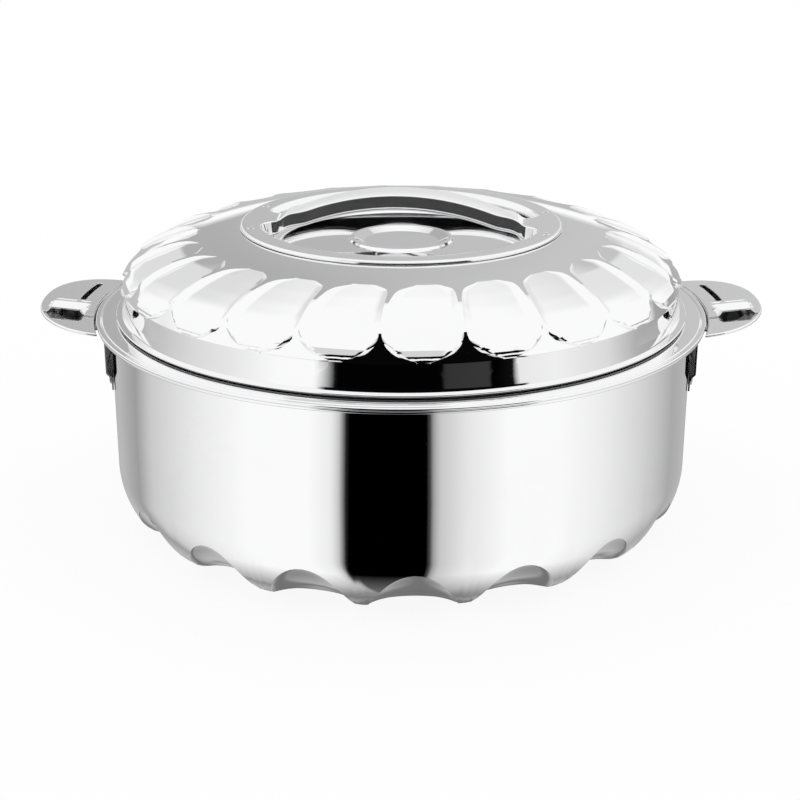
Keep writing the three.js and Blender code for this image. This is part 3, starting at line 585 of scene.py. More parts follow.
def sector_ring(name, count, points, rows, columns):
    """A sector's grid of points as a sheet, set round the axis by the tree and welded."""
    faces = strip_faces(rows, columns + 1, around_rows=False, around_columns=False)
    sector = mesh_piece(name, points, faces)
    values = {"Count": count, "Weld Distance": WELD * MM, "Finish": mirror_steel}
    return baked(sector, ring_tree, ring_inputs, values)


def pot_shell():
    """The pot's outer shell, with its columns closer together at the middle of a dimple."""
    pitch = 360.0 / DIMPLE_COUNT
    points = []
    for column in range(SHELL_COLUMNS + 1):
        share = 2.0 * column / SHELL_COLUMNS - 1.0
        side = share if abs(share) == 1 else math.copysign(abs(share) ** COLUMN_CROWDING, share)
        azimuth = DIMPLE_TURN + pitch * side / 2
        points.extend(around(place.x, place.y, azimuth) for place in shell_column(side))
    return sector_ring("pot_shell", DIMPLE_COUNT, points, len(shell_column(0.0)), SHELL_COLUMNS)


shell = close_up(pot_shell(), fold=16.0)
finished(shell, mirror_steel, "pot", ["pot_outer_shell"])
# The shell's flange under the bowl's rim gets the near-black steel as painted shade.
paint_seam_shade(shell, radius=WALL_RADIUS + 1.2, height=102.5)

# %% [markdown]
# The bowl hangs in the shell by its wide flat rim. It is spun, so a turned profile is the right
# way: floor, rounded corner, slightly open wall, a tight roll over the mouth, the flat rim with a
# shallow groove, and the rolled edge that lies on the shell's flange. Only the inside is satin.

# %% Inner bowl
MOUTH_RADIUS = 130.0
FLANGE_TOP = 104.2
SATIN_RADIUS = MOUTH_RADIUS + 0.4
SATIN_TOP = RING_TOP - 1.5
bowl_profile = rounded([
    (0.0, 16.0, 0), (127.0, 16.0, 30.0), (MOUTH_RADIUS, RING_TOP, 1.6),
    (149.2, RING_TOP, 0.3), (149.8, RING_TOP - 0.45, 0.3), (150.4, RING_TOP - 0.05, 0.3),
    (RING_RADIUS, RING_TOP, 0.75), (RING_RADIUS, FLANGE_TOP, 0.7), (149.0, FLANGE_TOP, 0.3),
    (148.6, 104.9, 0.3), (MOUTH_RADIUS + SHEET, 104.9, 0.8), (127.0 + SHEET, 15.2, 30.8), (0.0, 15.2, 0),
], steps=10)
bowl = close_up(mesh_piece("pot_bowl", *turned(bowl_profile, columns=256)), fold=50.0)
finished(bowl, rim_steel, "pot", ["pot_inner_bowl"])
bowl.data.materials.append(satin_steel)
for face in bowl.data.polygons:
    middle = face.center
    if math.hypot(middle.x, middle.y) < SATIN_RADIUS * MM and middle.z < SATIN_TOP * MM:
        face.material_index = 1
print("bowl faces in satin:", sum(face.material_index for face in bowl.data.polygons))

# %% [markdown]
# The lid is the piece that takes the most skill: twenty-three petals, each like a coin that lies
# over its neighbour. A petal is a tilted facet: its upper end is sunk into the dome and its lower
# end stands proud of the band. So there are two lines of corners from the seat down to the band,
# one for the petals and one for the plain sheet (the web) between them. Tables say how far down
# the lines each row of the mesh lies, and where the petal's left and right edge cross the pitch
# there. A displacement map couldn't make the crisp left edges.

# %% Lines and tables of the petals
LID_SEAT_RADIUS = 81.0
LID_SEAT_TOP = 147.5
PETAL_COUNT = 23
PETAL_TURN = 0.7
PETAL_LINE = [
    (101.06, 144.6, 0), (110.0, 141.4, 40.0), (119.0, 137.9, 40.0), (127.8, 133.9, 30.0),
    (133.8, 130.0, 14.0), (137.6, 126.2, 0.8), (138.9, 123.7, 0.4), (139.1, 122.9, 0.12),
    (139.7, 122.5, 0.12), (139.9, 121.6, 0),
]
WEB_LINE = [
    (101.06, 144.6, 0), (110.0, 142.9, 30.0), (119.0, 140.4, 30.0), (126.5, 136.8, 20.0),
    (133.2, 132.6, 1.6), (134.9, 128.6, 4.0), (136.5, 124.7, 4.0), (138.1, 120.8, 0),
]
ROW_SHARES = [0, 0.08, 0.15, 0.25, 0.35, 0.50, 0.65, 0.75, 0.82, 0.87, 0.91, 0.94, 0.97, 1.0]
LEFT_SHARES = [0.52, 0.27, 0.17, 0.11, 0.07, 0.035, 0.015, 0.05, 0.105, 0.155, 0.21, 0.265, 0.33, 0.42]
RIGHT_SHARES = [0.80, 1.00, 1.04, 1.035, 1.02, 1.00, 0.985, 0.95, 0.895, 0.845, 0.79, 0.735, 0.67, 0.58]


def along(table, share):
    """The value of an even table at a share of its length, on a smooth curve through its entries."""
    spot = share * (len(table) - 1)
    index = min(int(spot), len(table) - 2)
    step = spot - index
    around_spot = (table[min(max(index + offset, 0), len(table) - 1)] for offset in (-1, 0, 1, 2))
    before, start, end, after = around_spot
    return 0.5 * (
        start * 2 + (end - before) * step
        + (before * 2 - start * 5 + end * 4 - after) * step ** 2
        + (start * 3 - before - end * 3 + after) * step ** 3
    )


def walked(line, share):
    """The place on a line of corners after a share of its length."""
    lengths = [(end - start).length for start, end in zip(line, line[1:])]
    left_over = share * sum(lengths)
    for start, end, length in zip(line, line[1:], lengths):
        if left_over <= length:
            return start.lerp(end, left_over / length)
        left_over -= length
    return line[-1]


petal_line = rounded(PETAL_LINE, steps=6, closed=False)
web_line = rounded(WEB_LINE, steps=6, closed=False)
halfway = (walked(petal_line, 0.5), walked(web_line, 0.5))
print("petal and web halfway down:", [tuple(round(value, 1) for value in place) for place in halfway])

# %% [markdown]
# One petal with the web beside it is a sector. Across a petal the sheet steps from the web's line
# to the petal's: at once at the left edge, which overlaps the neighbour, and more softly at the
# right. The foot of a petal curves up towards its edges, like the rim of a coin.

# %% A corner of the petals' mesh
PETAL_COLUMNS = 20
WEB_COLUMNS = 8
LEFT_STEP = 0.09
LEFT_SOFTNESS = 1.6
RIGHT_STEP = 0.14
RIGHT_NARROWING = 0.09
RIGHT_SOFTNESS = 2.0
FOOT_CURVE = 0.11
FOOT_CURVE_START = 0.45
FOOT_CURVE_FULL = 0.8


def pressed(across, row):
    """How far the sheet has gone from the web's line to the petal's, across one petal."""
    left = 1 - (1 - min(across / LEFT_STEP, 1.0)) ** LEFT_SOFTNESS
    right_step = RIGHT_STEP - RIGHT_NARROWING * row
    right = 1 - (1 - min((1 - across) / right_step, 1.0)) ** RIGHT_SOFTNESS
    return left * right


def petal_share(column, row):
    """Where a column of the sector lies across the pitch, and across its petal (0 beside it)."""
    left = along(LEFT_SHARES, row)
    right = along(RIGHT_SHARES, row)
    if column <= PETAL_COLUMNS:
        across = (1 - math.cos(math.pi * column / PETAL_COLUMNS)) / 2
        return left + (right - left) * across, across
    web = (column - PETAL_COLUMNS) / WEB_COLUMNS
    return right + (left + 1 - right) * web, 0.0


def petal_spot(column, row):
    """A corner of the petals' mesh as (radius, height, share of the pitch)."""
    share, across = petal_share(column, row)
    width = along(RIGHT_SHARES, row) - along(LEFT_SHARES, row)
    aside = width * abs(2 * across - 1)
    walk = along(ROW_SHARES, row)
    near_foot = smooth_step(FOOT_CURVE_START, FOOT_CURVE_FULL, walk)
    walk = min(walk + FOOT_CURVE * aside ** 2 * near_foot, 1.0)
    place = walked(web_line, walk).lerp(walked(petal_line, walk), pressed(across, row))
    return place.x, place.y, share


print("middle of a petal:", [round(value, 2) for value in petal_spot(PETAL_COLUMNS // 2, 0.5)])

# %% [markdown]
# A column of the sector starts in the middle of the dish, crosses its low ring and the seat of the
# handle, runs down the petals to the band and the rim, and comes back inside along a simpler line.
# The columns lean with the petals and straighten again on the band, so that the band stays round.

# %% Lid shell
PETAL_ROWS = 72
SHOULDER_ROWS = 8
SHOULDER_LEAN = 0.6
PLAIN_START = 0.12
BAND_RADIUS = 138.1
BAND_LOW = 111.0
BAND_HIGH = 119.0
dish_line = rounded([
    (0.0, 138.9, 0), (18.6, 138.9, 2.0), (23.4, 141.1, 1.2), (25.4, 141.1, 0.6), (26.2, 139.8, 0.5),
    (61.0, 138.2, 5.0), (71.6, 144.6, 2.0), (72.6, LID_SEAT_TOP, 1.2), (LID_SEAT_RADIUS, LID_SEAT_TOP, 0),
], steps=4, closed=False)
rim_line = rounded([
    (138.2, 120.5, 0), (138.3, 119.6, 0.2), (138.44, 118.1, 0), (138.58, 116.6, 0), (138.72, 115.1, 0),
    (138.86, 113.6, 0), (139.0, 112.1, 0), (139.4, 107.8, 0.3), (142.4, 107.75, 0.45), (142.4, 106.8, 0.45),
    (138.0, 106.8, 0.3), (137.3, 118.6, 0), (135.0, 123.0, 0), (130.6, 127.8, 0), (125.0, 131.4, 0),
    (116.4, 135.6, 0), (108.0, 139.4, 0), (100.4, 143.2, 0), (LID_SEAT_RADIUS, 146.6, 0), (73.4, 146.6, 0),
    (72.4, 143.8, 0), (61.2, 137.4, 0), (0.0, 138.4, 0),
], steps=3, closed=False)


def lid_column(column):
    """One column of the lid's sector as (radius, height, share of the pitch)."""
    plain = PLAIN_START + column / (PETAL_COLUMNS + WEB_COLUMNS)
    line = [(place.x, place.y, plain) for place in dish_line]
    top = petal_line[0]
    top_share, _ = petal_share(column, 0.0)
    for step in range(1, SHOULDER_ROWS):
        share = step / SHOULDER_ROWS
        fall = SHOULDER_LEAN * share + (1 - SHOULDER_LEAN) * share ** 2
        radius = LID_SEAT_RADIUS + (top.x - LID_SEAT_RADIUS) * share
        height = LID_SEAT_TOP + (top.y - LID_SEAT_TOP) * fall
        line.append((radius, height, plain + (top_share - plain) * smooth_step(0, 1, share)))
    line.extend(petal_spot(column, step / PETAL_ROWS) for step in range(PETAL_ROWS + 1))
    foot_share = line[-1][2]
    for place in rim_line:
        blend = 1 - smooth_step(BAND_LOW, BAND_HIGH, place.y) if place.x > BAND_RADIUS else 1.0
        line.append((place.x, place.y, foot_share + (plain - foot_share) * blend))
    return line


def lid_shell():
    """The lid's outer shell with all its petals."""
    columns = PETAL_COLUMNS + WEB_COLUMNS
    pitch = 360.0 / PETAL_COUNT
    points = []
    for column in range(columns + 1):
        for radius, height, share in lid_column(column):
            points.append(around(radius, height, PETAL_TURN + LID_TURN + pitch * share))
    return sector_ring("lid_shell", PETAL_COUNT, points, len(lid_column(0)), columns)


lid = close_up(lid_shell(), fold=24.0)
finished(lid, mirror_steel, "lid", ["lid_outer_shell"])

# %% [markdown]
# Under the lid a spun cover closes the insulation and carries a short spigot that drops into the
# bowl. It is turned like the bowl. It is only seen with the lid lifted, and shows the satin of the
# lathe.

# %% Lid inner cover
SPIGOT_RADIUS = 128.4
SPIGOT_INSIDE = SPIGOT_RADIUS - SHEET
cover_profile = rounded([
    (0.0, 111.0, 0), (60.0, 109.6, 40.0), (116.0, 106.0, 4.0), (123.4, 99.0, 1.2), (SPIGOT_RADIUS, 99.0, 1.6),
    (SPIGOT_RADIUS, 106.0, 0.4), (141.6, 106.0, 0.35), (141.6, 106.8, 0.35), (SPIGOT_INSIDE, 106.8, 0.4),
    (SPIGOT_INSIDE, 99.8, 0.8), (123.8, 99.8, 0.6), (116.2, 106.8, 4.0), (60.0, 110.4, 40.0), (0.0, 111.8, 0),
], steps=8)
lid_cover = close_up(mesh_piece("lid_inner_cover_sheet", *turned(cover_profile, columns=192)), fold=50.0)
finished(lid_cover, satin_steel, "lid", ["lid_inner_cover"])
# The cover's outer lip under the lid's rim gets the near-black steel as painted shade.
paint_seam_shade(lid_cover, radius=139.0, height=105.0)

# %% [markdown]
# Flat pressed sheets with holes, such as the lid's handle and the side handles, need another way.
# A triangulated top between their outlines keeps flat parts truly flat, and loops lofted round
# each outline make the rolled edges. The same triangulation lies one sheet lower for the
# underside, so the piece is closed. A loop just inside each edge keeps the bend's shading off the
# flat.

# %% Loops in the plane
STRETCH_LIMIT = 0.5


def arc(centre_x, centre_y, radius, first, sweep, steps):
    """Places along an arc in the plane, its end left out."""
    line = []
    for step in range(steps):
        turn = first + sweep * step / steps
        line.append(Vector((centre_x + radius * math.cos(turn), centre_y + radius * math.sin(turn))))
    return line


def level(loop, height):
    """A loop in the plane lifted to one height."""
    return [Vector((place.x, place.y, height)) for place in loop]


def moved_loop(loop, distance):
    """A closed outline in the plane moved sideways, to the left of its own direction."""
    count = len(loop)
    moved = []
    for index, place in enumerate(loop):
        back = (place - loop[index - 1]).normalized()
        onward = (loop[(index + 1) % count] - place).normalized()
        normal = Vector((-back.y - onward.y, back.x + onward.x))
        stretch = distance / max(1 + back.dot(onward), STRETCH_LIMIT)
        moved.append(place + normal * stretch)
    return moved


def within(place, loop):
    """True if a place in the plane lies inside a closed outline."""
    inside = False
    for index, end in enumerate(loop):
        start = loop[index - 1]
        if (start.y > place.y) != (end.y > place.y):
            cross = start.x + (end.x - start.x) * (place.y - start.y) / (end.y - start.y)
            inside = inside != (place.x < cross)
    return inside


def nearest(place, loop):
    """The distance to the nearest corner of an outline."""
    return min((place - corner).length for corner in loop)


trial = arc(0.0, 0.0, 10.0, 0.0, 2 * math.pi, 90)
print("a circle of 10 mm moved in by 1 mm:", round(moved_loop(trial, 1.0)[0].length, 3))

# %% [markdown]
# The sheet itself: rings of loops that run from the top over the edge to the underside, and a
# skin above and below. Delaunay triangulation takes the outlines as fixed edges, and triangles
# that lie in a hole are left out.

# %% Pressed sheets between outlines
SKIN_TOLERANCE = 1e-5


def sheet_skin(outer, holes, extra_loops, extra_points, height):
    """Triangles that fill the plane between outlines, each corner at the height of its place."""
    flat = []
    edges = []
    for loop in [outer, *holes, *extra_loops]:
        start = len(flat)
        flat.extend(loop)
        edges.extend((start + index, start + (index + 1) % len(loop)) for index in range(len(loop)))
    flat.extend(extra_points)
    places, _, triangles, _, _, _ = delaunay_2d_cdt(flat, edges, [], 0, SKIN_TOLERANCE)
    kept = []
    for triangle in triangles:
        middle = sum((places[corner] for corner in triangle), Vector((0.0, 0.0))) / len(triangle)
        if within(middle, outer) and not any(within(middle, hole) for hole in holes):
            kept.append(tuple(triangle))
    return [Vector((place.x, place.y, height(place))) for place in places], kept


def pressed_sheet(name, rings, extra_points, top_height, low_height, top_loops=(), low_loops=()):
    """A closed sheet from rings of loops round its outline and holes, first loop above, last below."""
    points = []
    faces = []

    def put(new_points, new_faces):
        """Adds a grid or a skin to the sheet."""
        start = len(points)
        points.extend(new_points)
        faces.extend(tuple(start + corner for corner in face) for face in new_faces)

    for ring in rings:
        put([place for loop in ring for place in loop], strip_faces(len(ring[0]), len(ring), True, False))
    for end, loops, height in ((0, top_loops, top_height), (-1, low_loops, low_height)):
        flat = [[Vector((place.x, place.y)) for place in ring[end]] for ring in rings]
        put(*sheet_skin(flat[0], flat[1:], loops, extra_points, height))
    return mesh_piece(name, points, faces)


skin_points, skin_faces = sheet_skin(trial, [], [], [], lambda place: 0.0)
print("a disc's skin:", len(skin_points), "corners,", len(skin_faces), "triangles")

# %% [markdown]
# The lid's handle is one pressed disc. Two windows are cut in it and their edges folded down with
# a small rolled hem. What is left between them is arched up into a bridge that a hand can grip.
# The outline of a window is a line and three arcs, and the bridge's height is a shallow arc along
# the disc.

# %% Bridge and windows of the lid's handle
DISC_TOP = 149.6
WINDOW_RADIUS = 70.0
WINDOW_CORNER = 8.0
BRIDGE_HALF_WIDTH = 8.5
BRIDGE_HALF_SPAN = 63.0
BRIDGE_RISE = 16.0
BRIDGE_CROWN = 2.0
BRIDGE_SHOULDER = 1.0
BRIDGE_FADE = 17.0
ROOT_RISE = 3.0
CROWN_RISE = 8.0
LINE_STEPS = 72
CORNER_STEPS = 14
ARC_STEPS = 80


def bridge_height(place):
    """How far the disc's sheet is arched up at a place in the plane."""
    radius = (BRIDGE_HALF_SPAN ** 2 + BRIDGE_RISE ** 2) / (2 * BRIDGE_RISE)
    reach = min(abs(place.x), BRIDGE_HALF_SPAN)
    arch = math.sqrt(radius ** 2 - reach ** 2) - radius + BRIDGE_RISE
    foot = smooth_step(0.0, ROOT_RISE, arch) * arch
    across = min(abs(place.y) / BRIDGE_HALF_WIDTH, 1.0)
    crown = BRIDGE_CROWN * across ** 2 * smooth_step(ROOT_RISE, CROWN_RISE, arch)
    beside = smooth_step(BRIDGE_HALF_WIDTH + BRIDGE_SHOULDER, BRIDGE_FADE, abs(place.y))
    return (foot - crown) * (1 - beside)


def bent(loop, drop):
    """A loop in the plane laid on the arched disc, by a drop below its top."""
    return [Vector((place.x, place.y, DISC_TOP + bridge_height(place) - drop)) for place in loop]


def window_outline(side):
    """The front window's outline (side 1) or the back one's (side -1), as one smooth closed line."""
    corner_y = BRIDGE_HALF_WIDTH + WINDOW_CORNER
    corner_x = math.sqrt((WINDOW_RADIUS - WINDOW_CORNER) ** 2 - corner_y ** 2)
    lean = math.atan2(corner_y, corner_x)
    corner_sweep = -(math.pi / 2 + lean)
    loop = []
    for step in range(LINE_STEPS):
        loop.append(Vector((-corner_x + 2 * corner_x * step / LINE_STEPS, -BRIDGE_HALF_WIDTH)))
    loop += arc(corner_x, -corner_y, WINDOW_CORNER, math.pi / 2, corner_sweep, CORNER_STEPS)
    loop += arc(0.0, 0.0, WINDOW_RADIUS, -lean, -(math.pi - 2 * lean), ARC_STEPS)
    loop += arc(-corner_x, -corner_y, WINDOW_CORNER, -math.pi + lean, corner_sweep, CORNER_STEPS)
    return [place * side for place in loop]


print("top of the bridge in mm:", DISC_TOP + bridge_height(Vector((0.0, 0.0))))

# %% [markdown]
# The sections of the folded edges are lists of steps sideways and down. A window's edge goes over
# a fold, down a skirt that is deepest along the bridge, round a rolled hem and back up inside. The
# disc's own edge is rolled down onto the lid.

# %% Edges of windows and disc
FOLD_RADIUS = 0.8
FOLD_TURNS = (0.3, 0.6, 0.9, 1.2, 1.57)
FOLD_SECTION = [(2.4, 0.0), (0.9, 0.0)] + [
    (FOLD_RADIUS - FOLD_RADIUS * math.sin(turn), FOLD_RADIUS - FOLD_RADIUS * math.cos(turn))
    for turn in FOLD_TURNS
]
HEM_SECTION = [
    (-1.0, 1.55), (-1.22, 1.42), (-1.42, 1.12), (-1.48, 0.75), (-1.38, 0.35), (-1.15, 0.08), (-0.85, 0.0),
    (-0.5, 0.08), (-0.2, 0.35),
]
UNDER_SECTION = [(0.8, 1.6), (0.95, 1.15), (1.4, 0.84), (2.4, 0.8)]
DISC_SECTION = [(77.2, 0.0), (78.1, 0.0)] + [
    (78.2 + 1.8 * math.sin(turn), 1.8 - 1.8 * math.cos(turn)) for turn in (0.25, 0.5, 0.75, 1.0, 1.3, 1.57)
] + [(79.6, 1.85), (79.2, 1.8), (79.0, 1.3), (78.6, 0.9), (78.1, 0.8), (77.2, 0.8)]
SKIRT_DEPTH = 7.2
EDGE_DEPTH = 4.2
SKIRT_FADE = 8.0


def skirt_depth(place):
    """How deep a window's edge is folded down beside a place of its outline."""
    away = max(abs(place.y) - BRIDGE_HALF_WIDTH, 0.0)
    return EDGE_DEPTH + (SKIRT_DEPTH - EDGE_DEPTH) * (1 - smooth_step(0.0, SKIRT_FADE, away))


def window_ring(side):
    """Loops round a window: the flat, the fold, the folded edge with its hem, and back below."""
    outline = window_outline(side)
    loops = [bent(moved_loop(outline, aside), drop) for aside, drop in FOLD_SECTION]
    for aside, lift in HEM_SECTION:
        loop = []
        for moved, place in zip(moved_loop(outline, aside), outline):
            height = DISC_TOP + bridge_height(place) - skirt_depth(place) + lift
            loop.append(Vector((moved.x, moved.y, height)))
        loops.append(loop)
    return loops + [bent(moved_loop(outline, aside), drop) for aside, drop in UNDER_SECTION]


print("loops round a window:", len(window_ring(1)), "and round the disc:", len(DISC_SECTION))

# %% [markdown]
# The skin between the edges is flat on the disc and needs corners of its own only where the bridge
# arches it. The bridge's top, worn by hands, has the softer finish; its folded sides keep the
# handle's own.

# %% Lid handle
STEP_ALONG = 2.0
STEP_ACROSS = 2.1
ROOT_START = 52.0
WINDOW_CLEARANCE = 2.9
FLAT_RADIUS = 76.0
WORN_RISE = 2.0
WORN_STEEPNESS = 0.85


def bridge_points():
    """Places on the bridge and beside its roots where the arched sheet needs corners."""
    holes = [moved_loop(window_outline(side), WINDOW_CLEARANCE) for side in (1, -1)]
    points = []
    for column in range(-34, 35):
        for row in range(-7, 8):
            place = Vector((column * STEP_ALONG, row * STEP_ACROSS))
            wanted = abs(place.y) < BRIDGE_HALF_WIDTH - 3.0 or abs(place.x) > ROOT_START
            in_window = any(within(place, hole) for hole in holes)
            if wanted and place.length < FLAT_RADIUS and not in_window:
                points.append(place)
    return points


def lid_handle():
    """The lid's handle, turned with the lid."""
    disc_ring = [
        level(arc(0.0, 0.0, radius, 0.0, 2 * math.pi, 240), DISC_TOP - drop) for radius, drop in DISC_SECTION
    ]
    piece = pressed_sheet(
        "lid_handle_disc", [disc_ring, window_ring(1), window_ring(-1)], bridge_points(),
        lambda place: DISC_TOP + bridge_height(place),
        lambda place: DISC_TOP + bridge_height(place) - SHEET,
    )
    turn = math.radians(LID_TURN)
    for vertex in piece.data.vertices:
        x, y, _ = vertex.co
        vertex.co.x = x * math.cos(turn) - y * math.sin(turn)
        vertex.co.y = x * math.sin(turn) + y * math.cos(turn)
    return piece


disc = close_up(lid_handle(), fold=38.0)
finished(disc, handle_finish, "lid", ["lid_handle"])
disc.data.materials.append(strap_steel)
for face in disc.data.polygons:
    if face.center.z > (DISC_TOP + WORN_RISE) * MM and face.normal.z > WORN_STEEPNESS:
        face.material_index = 1
print("bridge faces in the softer finish:", sum(face.material_index for face in disc.data.polygons))

# %% [markdown]
# Each side handle is two sheets folded together. The lower plate carries the rolled edge all round
# and a dished pocket for the fingertips. The upper cover lies over the back part; it has a long
# slot along the pot and a raised lip that opens to the front. Both are drawn flat for the right
# side, tilted up a little, and mirrored for the left. The outline is a curve fuller than an
# ellipse, with corners too close to its sharp roots left out.

# %% Outline of the side handles
EAR_TILT = math.radians(6.0)
EAR_PIVOT = 150.0
EAR_INNER_RADIUS = 153.1
EAR_CENTRE = 146.0
EAR_REACH = 35.5
EAR_HALF_LENGTH = 46.0
FRONT_FULLNESS = 2.0
BACK_FULLNESS = 2.4
TIP_STEPS = 96
RIM_STEPS = 40
ROOT_ROOM = 1.9


def ear_outline(inset):
    """The handle's outline: round the tip from the front root to the back one, then along the rim."""
    reach = EAR_REACH - inset
    half = EAR_HALF_LENGTH - inset
    inner_radius = EAR_INNER_RADIUS + inset
    inner = math.sqrt(inner_radius ** 2 - half ** 2)
    loop = []
    for step in range(TIP_STEPS + 1):
        share = 2 * step / TIP_STEPS - 1
        fullness = BACK_FULLNESS if share > 0 else FRONT_FULLNESS
        turn = share * math.acos(((inner - EAR_CENTRE) / reach) ** (fullness / 2))
        x = EAR_CENTRE + reach * max(math.cos(turn), 0.0) ** (2 / fullness)
        y = half * math.copysign(abs(math.sin(turn)) ** (2 / fullness), share)
        loop.append(Vector((x, y)))
    roots = (loop[0], loop[-1])
    front = roots[0].y
    back = roots[1].y
    for step in range(1, RIM_STEPS):
        y = back + (front - back) * step / RIM_STEPS
        loop.append(Vector((math.sqrt(inner_radius ** 2 - y ** 2), y)))

    def clear(place):
        """True for a root and for whatever keeps away from both roots."""
        return all(place is root or (place - root).length > ROOT_ROOM for root in roots)

    return [place for place in loop if clear(place)]


def on_pot(piece, side):
    """Tilts a handle sheet about its root and sets it at the rim, on the right or the left."""
    for vertex in piece.data.vertices:
        x = vertex.co.x / MM - EAR_PIVOT
        z = vertex.co.z / MM
        vertex.co.x = side * (EAR_PIVOT + x * math.cos(EAR_TILT) - z * math.sin(EAR_TILT)) * MM
        vertex.co.z = (RING_TOP - GAP + x * math.sin(EAR_TILT) + z * math.cos(EAR_TILT)) * MM
    return piece


print("tip of a side handle in mm:", round(max(place.x for place in ear_outline(0.0)), 1))

# %% [markdown]
# The plate's edge is a quarter roll with a small hem. Its pocket is pressed in as a stack of
# loops, each at its own depth, which the triangulated skin takes up above and below.

# %% Plate of a side handle
ROLL_RADIUS = 0.9
PLATE_SECTION = [(1.3, 0.8), (1.0, 0.8)] + [
    (ROLL_RADIUS - ROLL_RADIUS * math.sin(turn), 1.7 - ROLL_RADIUS * math.cos(turn))
    for turn in (0.35, 0.7, 1.05, 1.4, 1.57)
] + [(0.05, 2.0), (0.25, 2.2), (0.55, 2.2), (0.75, 2.0), (0.95, 1.7), (1.3, 1.6)]
POCKET_SECTION = [
    (0.0, 0.0), (0.35, 0.1), (0.7, 0.5), (0.95, 1.2), (1.3, 3.1), (1.6, 3.6), (2.1, 3.9), (2.8, 4.0),
    (3.6, 4.0),
]
POCKET_SHIFT = 0.6
POCKET_GUARD = 0.8
ON_A_LOOP = 0.01


def pocket_loop(inset):
    """The pocket's outline as a rounded four-sided shape, drawn inwards by the inset."""
    near = 157.4 + inset
    far = 173.2 - inset
    front = -27.5 + inset
    back = 36.0 - inset
    return rounded([
        (near, front, 2.5), (165.2, front, 4.0), (far, -16.0, 8.0),
        (far, 24.0, 8.0), (165.2, back, 4.0), (near, back, 2.5),
    ], steps=5)


def pocket_depth(place, loops):
    """How deep the pocket is at a place, from the innermost loop that it lies in or on."""
    depth = 0.0
    for loop, (_, drop) in zip(loops, POCKET_SECTION):
        if nearest(place, loop) < ON_A_LOOP:
            return drop
        if within(place, loop):
            depth = drop
    return depth


def ear_plate(side, word):
    """The lower sheet of a side handle."""
    base = ear_outline(0.0)
    ring = [level(moved_loop(base, inset), -drop) for inset, drop in PLATE_SECTION]
    above = [pocket_loop(inset) for inset, _ in POCKET_SECTION]
    below = [pocket_loop(inset - POCKET_SHIFT) for inset, _ in POCKET_SECTION]
    return on_pot(pressed_sheet(
        f"{word}_handle_sheet", [ring], [],
        lambda place: -SHEET - pocket_depth(place, above),
        lambda place: -2 * SHEET - pocket_depth(place, below),
        top_loops=above + [pocket_loop(-POCKET_GUARD)],
        low_loops=below + [pocket_loop(-POCKET_GUARD - POCKET_SHIFT)],
    ), side)


print("corners round the pocket:", len(pocket_loop(0.0)))

# %% [markdown]
# The cover ends at a seam across the handle. There the sheet rises towards the front into a lip
# with folded flanks, and a fine groove lies behind it. Both are a height that is worked out for
# each place, so they need no outlines of their own.

# %% Seam and lip of a side handle's cover
EAR_SEAM = 20.5
SEAM_ROOM = 1.3
COVER_INSET = 0.5
LIP_RISE = 2.4
LIP_START = 157.0
LIP_END = 175.6
GROOVE_START = 159.0
GROOVE_END = 174.0
GROOVE_DEPTH = 0.35
GROOVE_PLACE = 1.5
GROOVE_HALF_WIDTH = 0.9
SEAM_STOPS = [154.6, 156.0, 157.0, 158.2, 159.4, 162.0, 165.0, 168.0, 171.0, 173.2, 174.4, 175.6]


def lip_height(place):
    """The raised lip's height above the cover, and the fine groove behind it."""
    if not LIP_START <= place.x <= LIP_END or place.y > 2 * GROOVE_PLACE:
        return 0.0
    if place.y > 0.0:
        if not GROOVE_START <= place.x <= GROOVE_END:
            return 0.0
        return -GROOVE_DEPTH * max(1 - abs(place.y - GROOVE_PLACE) / GROOVE_HALF_WIDTH, 0.0)
    slope = LIP_RISE * -place.y / EAR_SEAM
    return max(min(slope, place.x - LIP_START, LIP_END - place.x), 0.0)


def cover_outline():
    """The cover's outline: the handle's, cut off along the seam, with corners where the lip folds."""
    whole = ear_outline(COVER_INSET)
    kept = [place for place in whole if place.y > -EAR_SEAM + SEAM_ROOM]
    front = [place for place in whole if place.y <= -EAR_SEAM and place.x > 160.0]
    tip = max(front, key=lambda place: place.y)
    inner = math.sqrt((EAR_INNER_RADIUS + COVER_INSET) ** 2 - EAR_SEAM ** 2)
    seam = [Vector((x, -EAR_SEAM)) for x in (inner, *SEAM_STOPS, tip.x + 0.1)]
    return seam + kept


print("corners of the cover's outline:", len(cover_outline()))

# %% [markdown]
# The slot follows the pot's curve and has round ends, as a punch leaves it. Its edge and the
# cover's are slightly broken, so that they catch the light and don't cut. Rows of corners on the
# lip let the skin fold there.

# %% Cover of a side handle
SLOT_RADIUS = 162.2
SLOT_START = 5.6
SLOT_END = 34.0
SLOT_HALF_WIDTH = 1.5
SLOT_SECTION = [(0.8, 0.0), (0.25, 0.0), (0.06, 0.08), (0.0, 0.25), (0.0, 0.6), (0.25, 0.8), (0.8, 0.8)]
COVER_SECTION = [
    (0.9, 0.0), (0.3, 0.0), (0.08, 0.08), (0.0, 0.25), (0.0, 0.55), (0.08, 0.72), (0.3, 0.8), (0.9, 0.8),
]
LIP_ROWS = (0.0, 0.6, 1.5, 2.4, -4.0, -8.0, -12.0, -16.0)
LIP_COLUMNS = (156.2, 157.0, 159.4, 162.0, 166.0, 170.0, 173.2, 175.6, 176.4)


def slot_loop(width):
    """The slot along the pot with round ends: out on its far side and back on its near one."""
    loop = []
    for way, start, end in ((1, SLOT_START, SLOT_END), (-1, SLOT_END, SLOT_START)):
        for step in range(25):
            y = start + (end - start) * step / 24
            loop.append(Vector((math.sqrt(SLOT_RADIUS ** 2 - y ** 2) + way * width, y)))
        middle = math.sqrt(SLOT_RADIUS ** 2 - end ** 2)
        for step in range(1, 6):
            turn = math.pi * step / 6
            loop.append(Vector((middle + way * width * math.cos(turn), end + way * width * math.sin(turn))))
    return loop


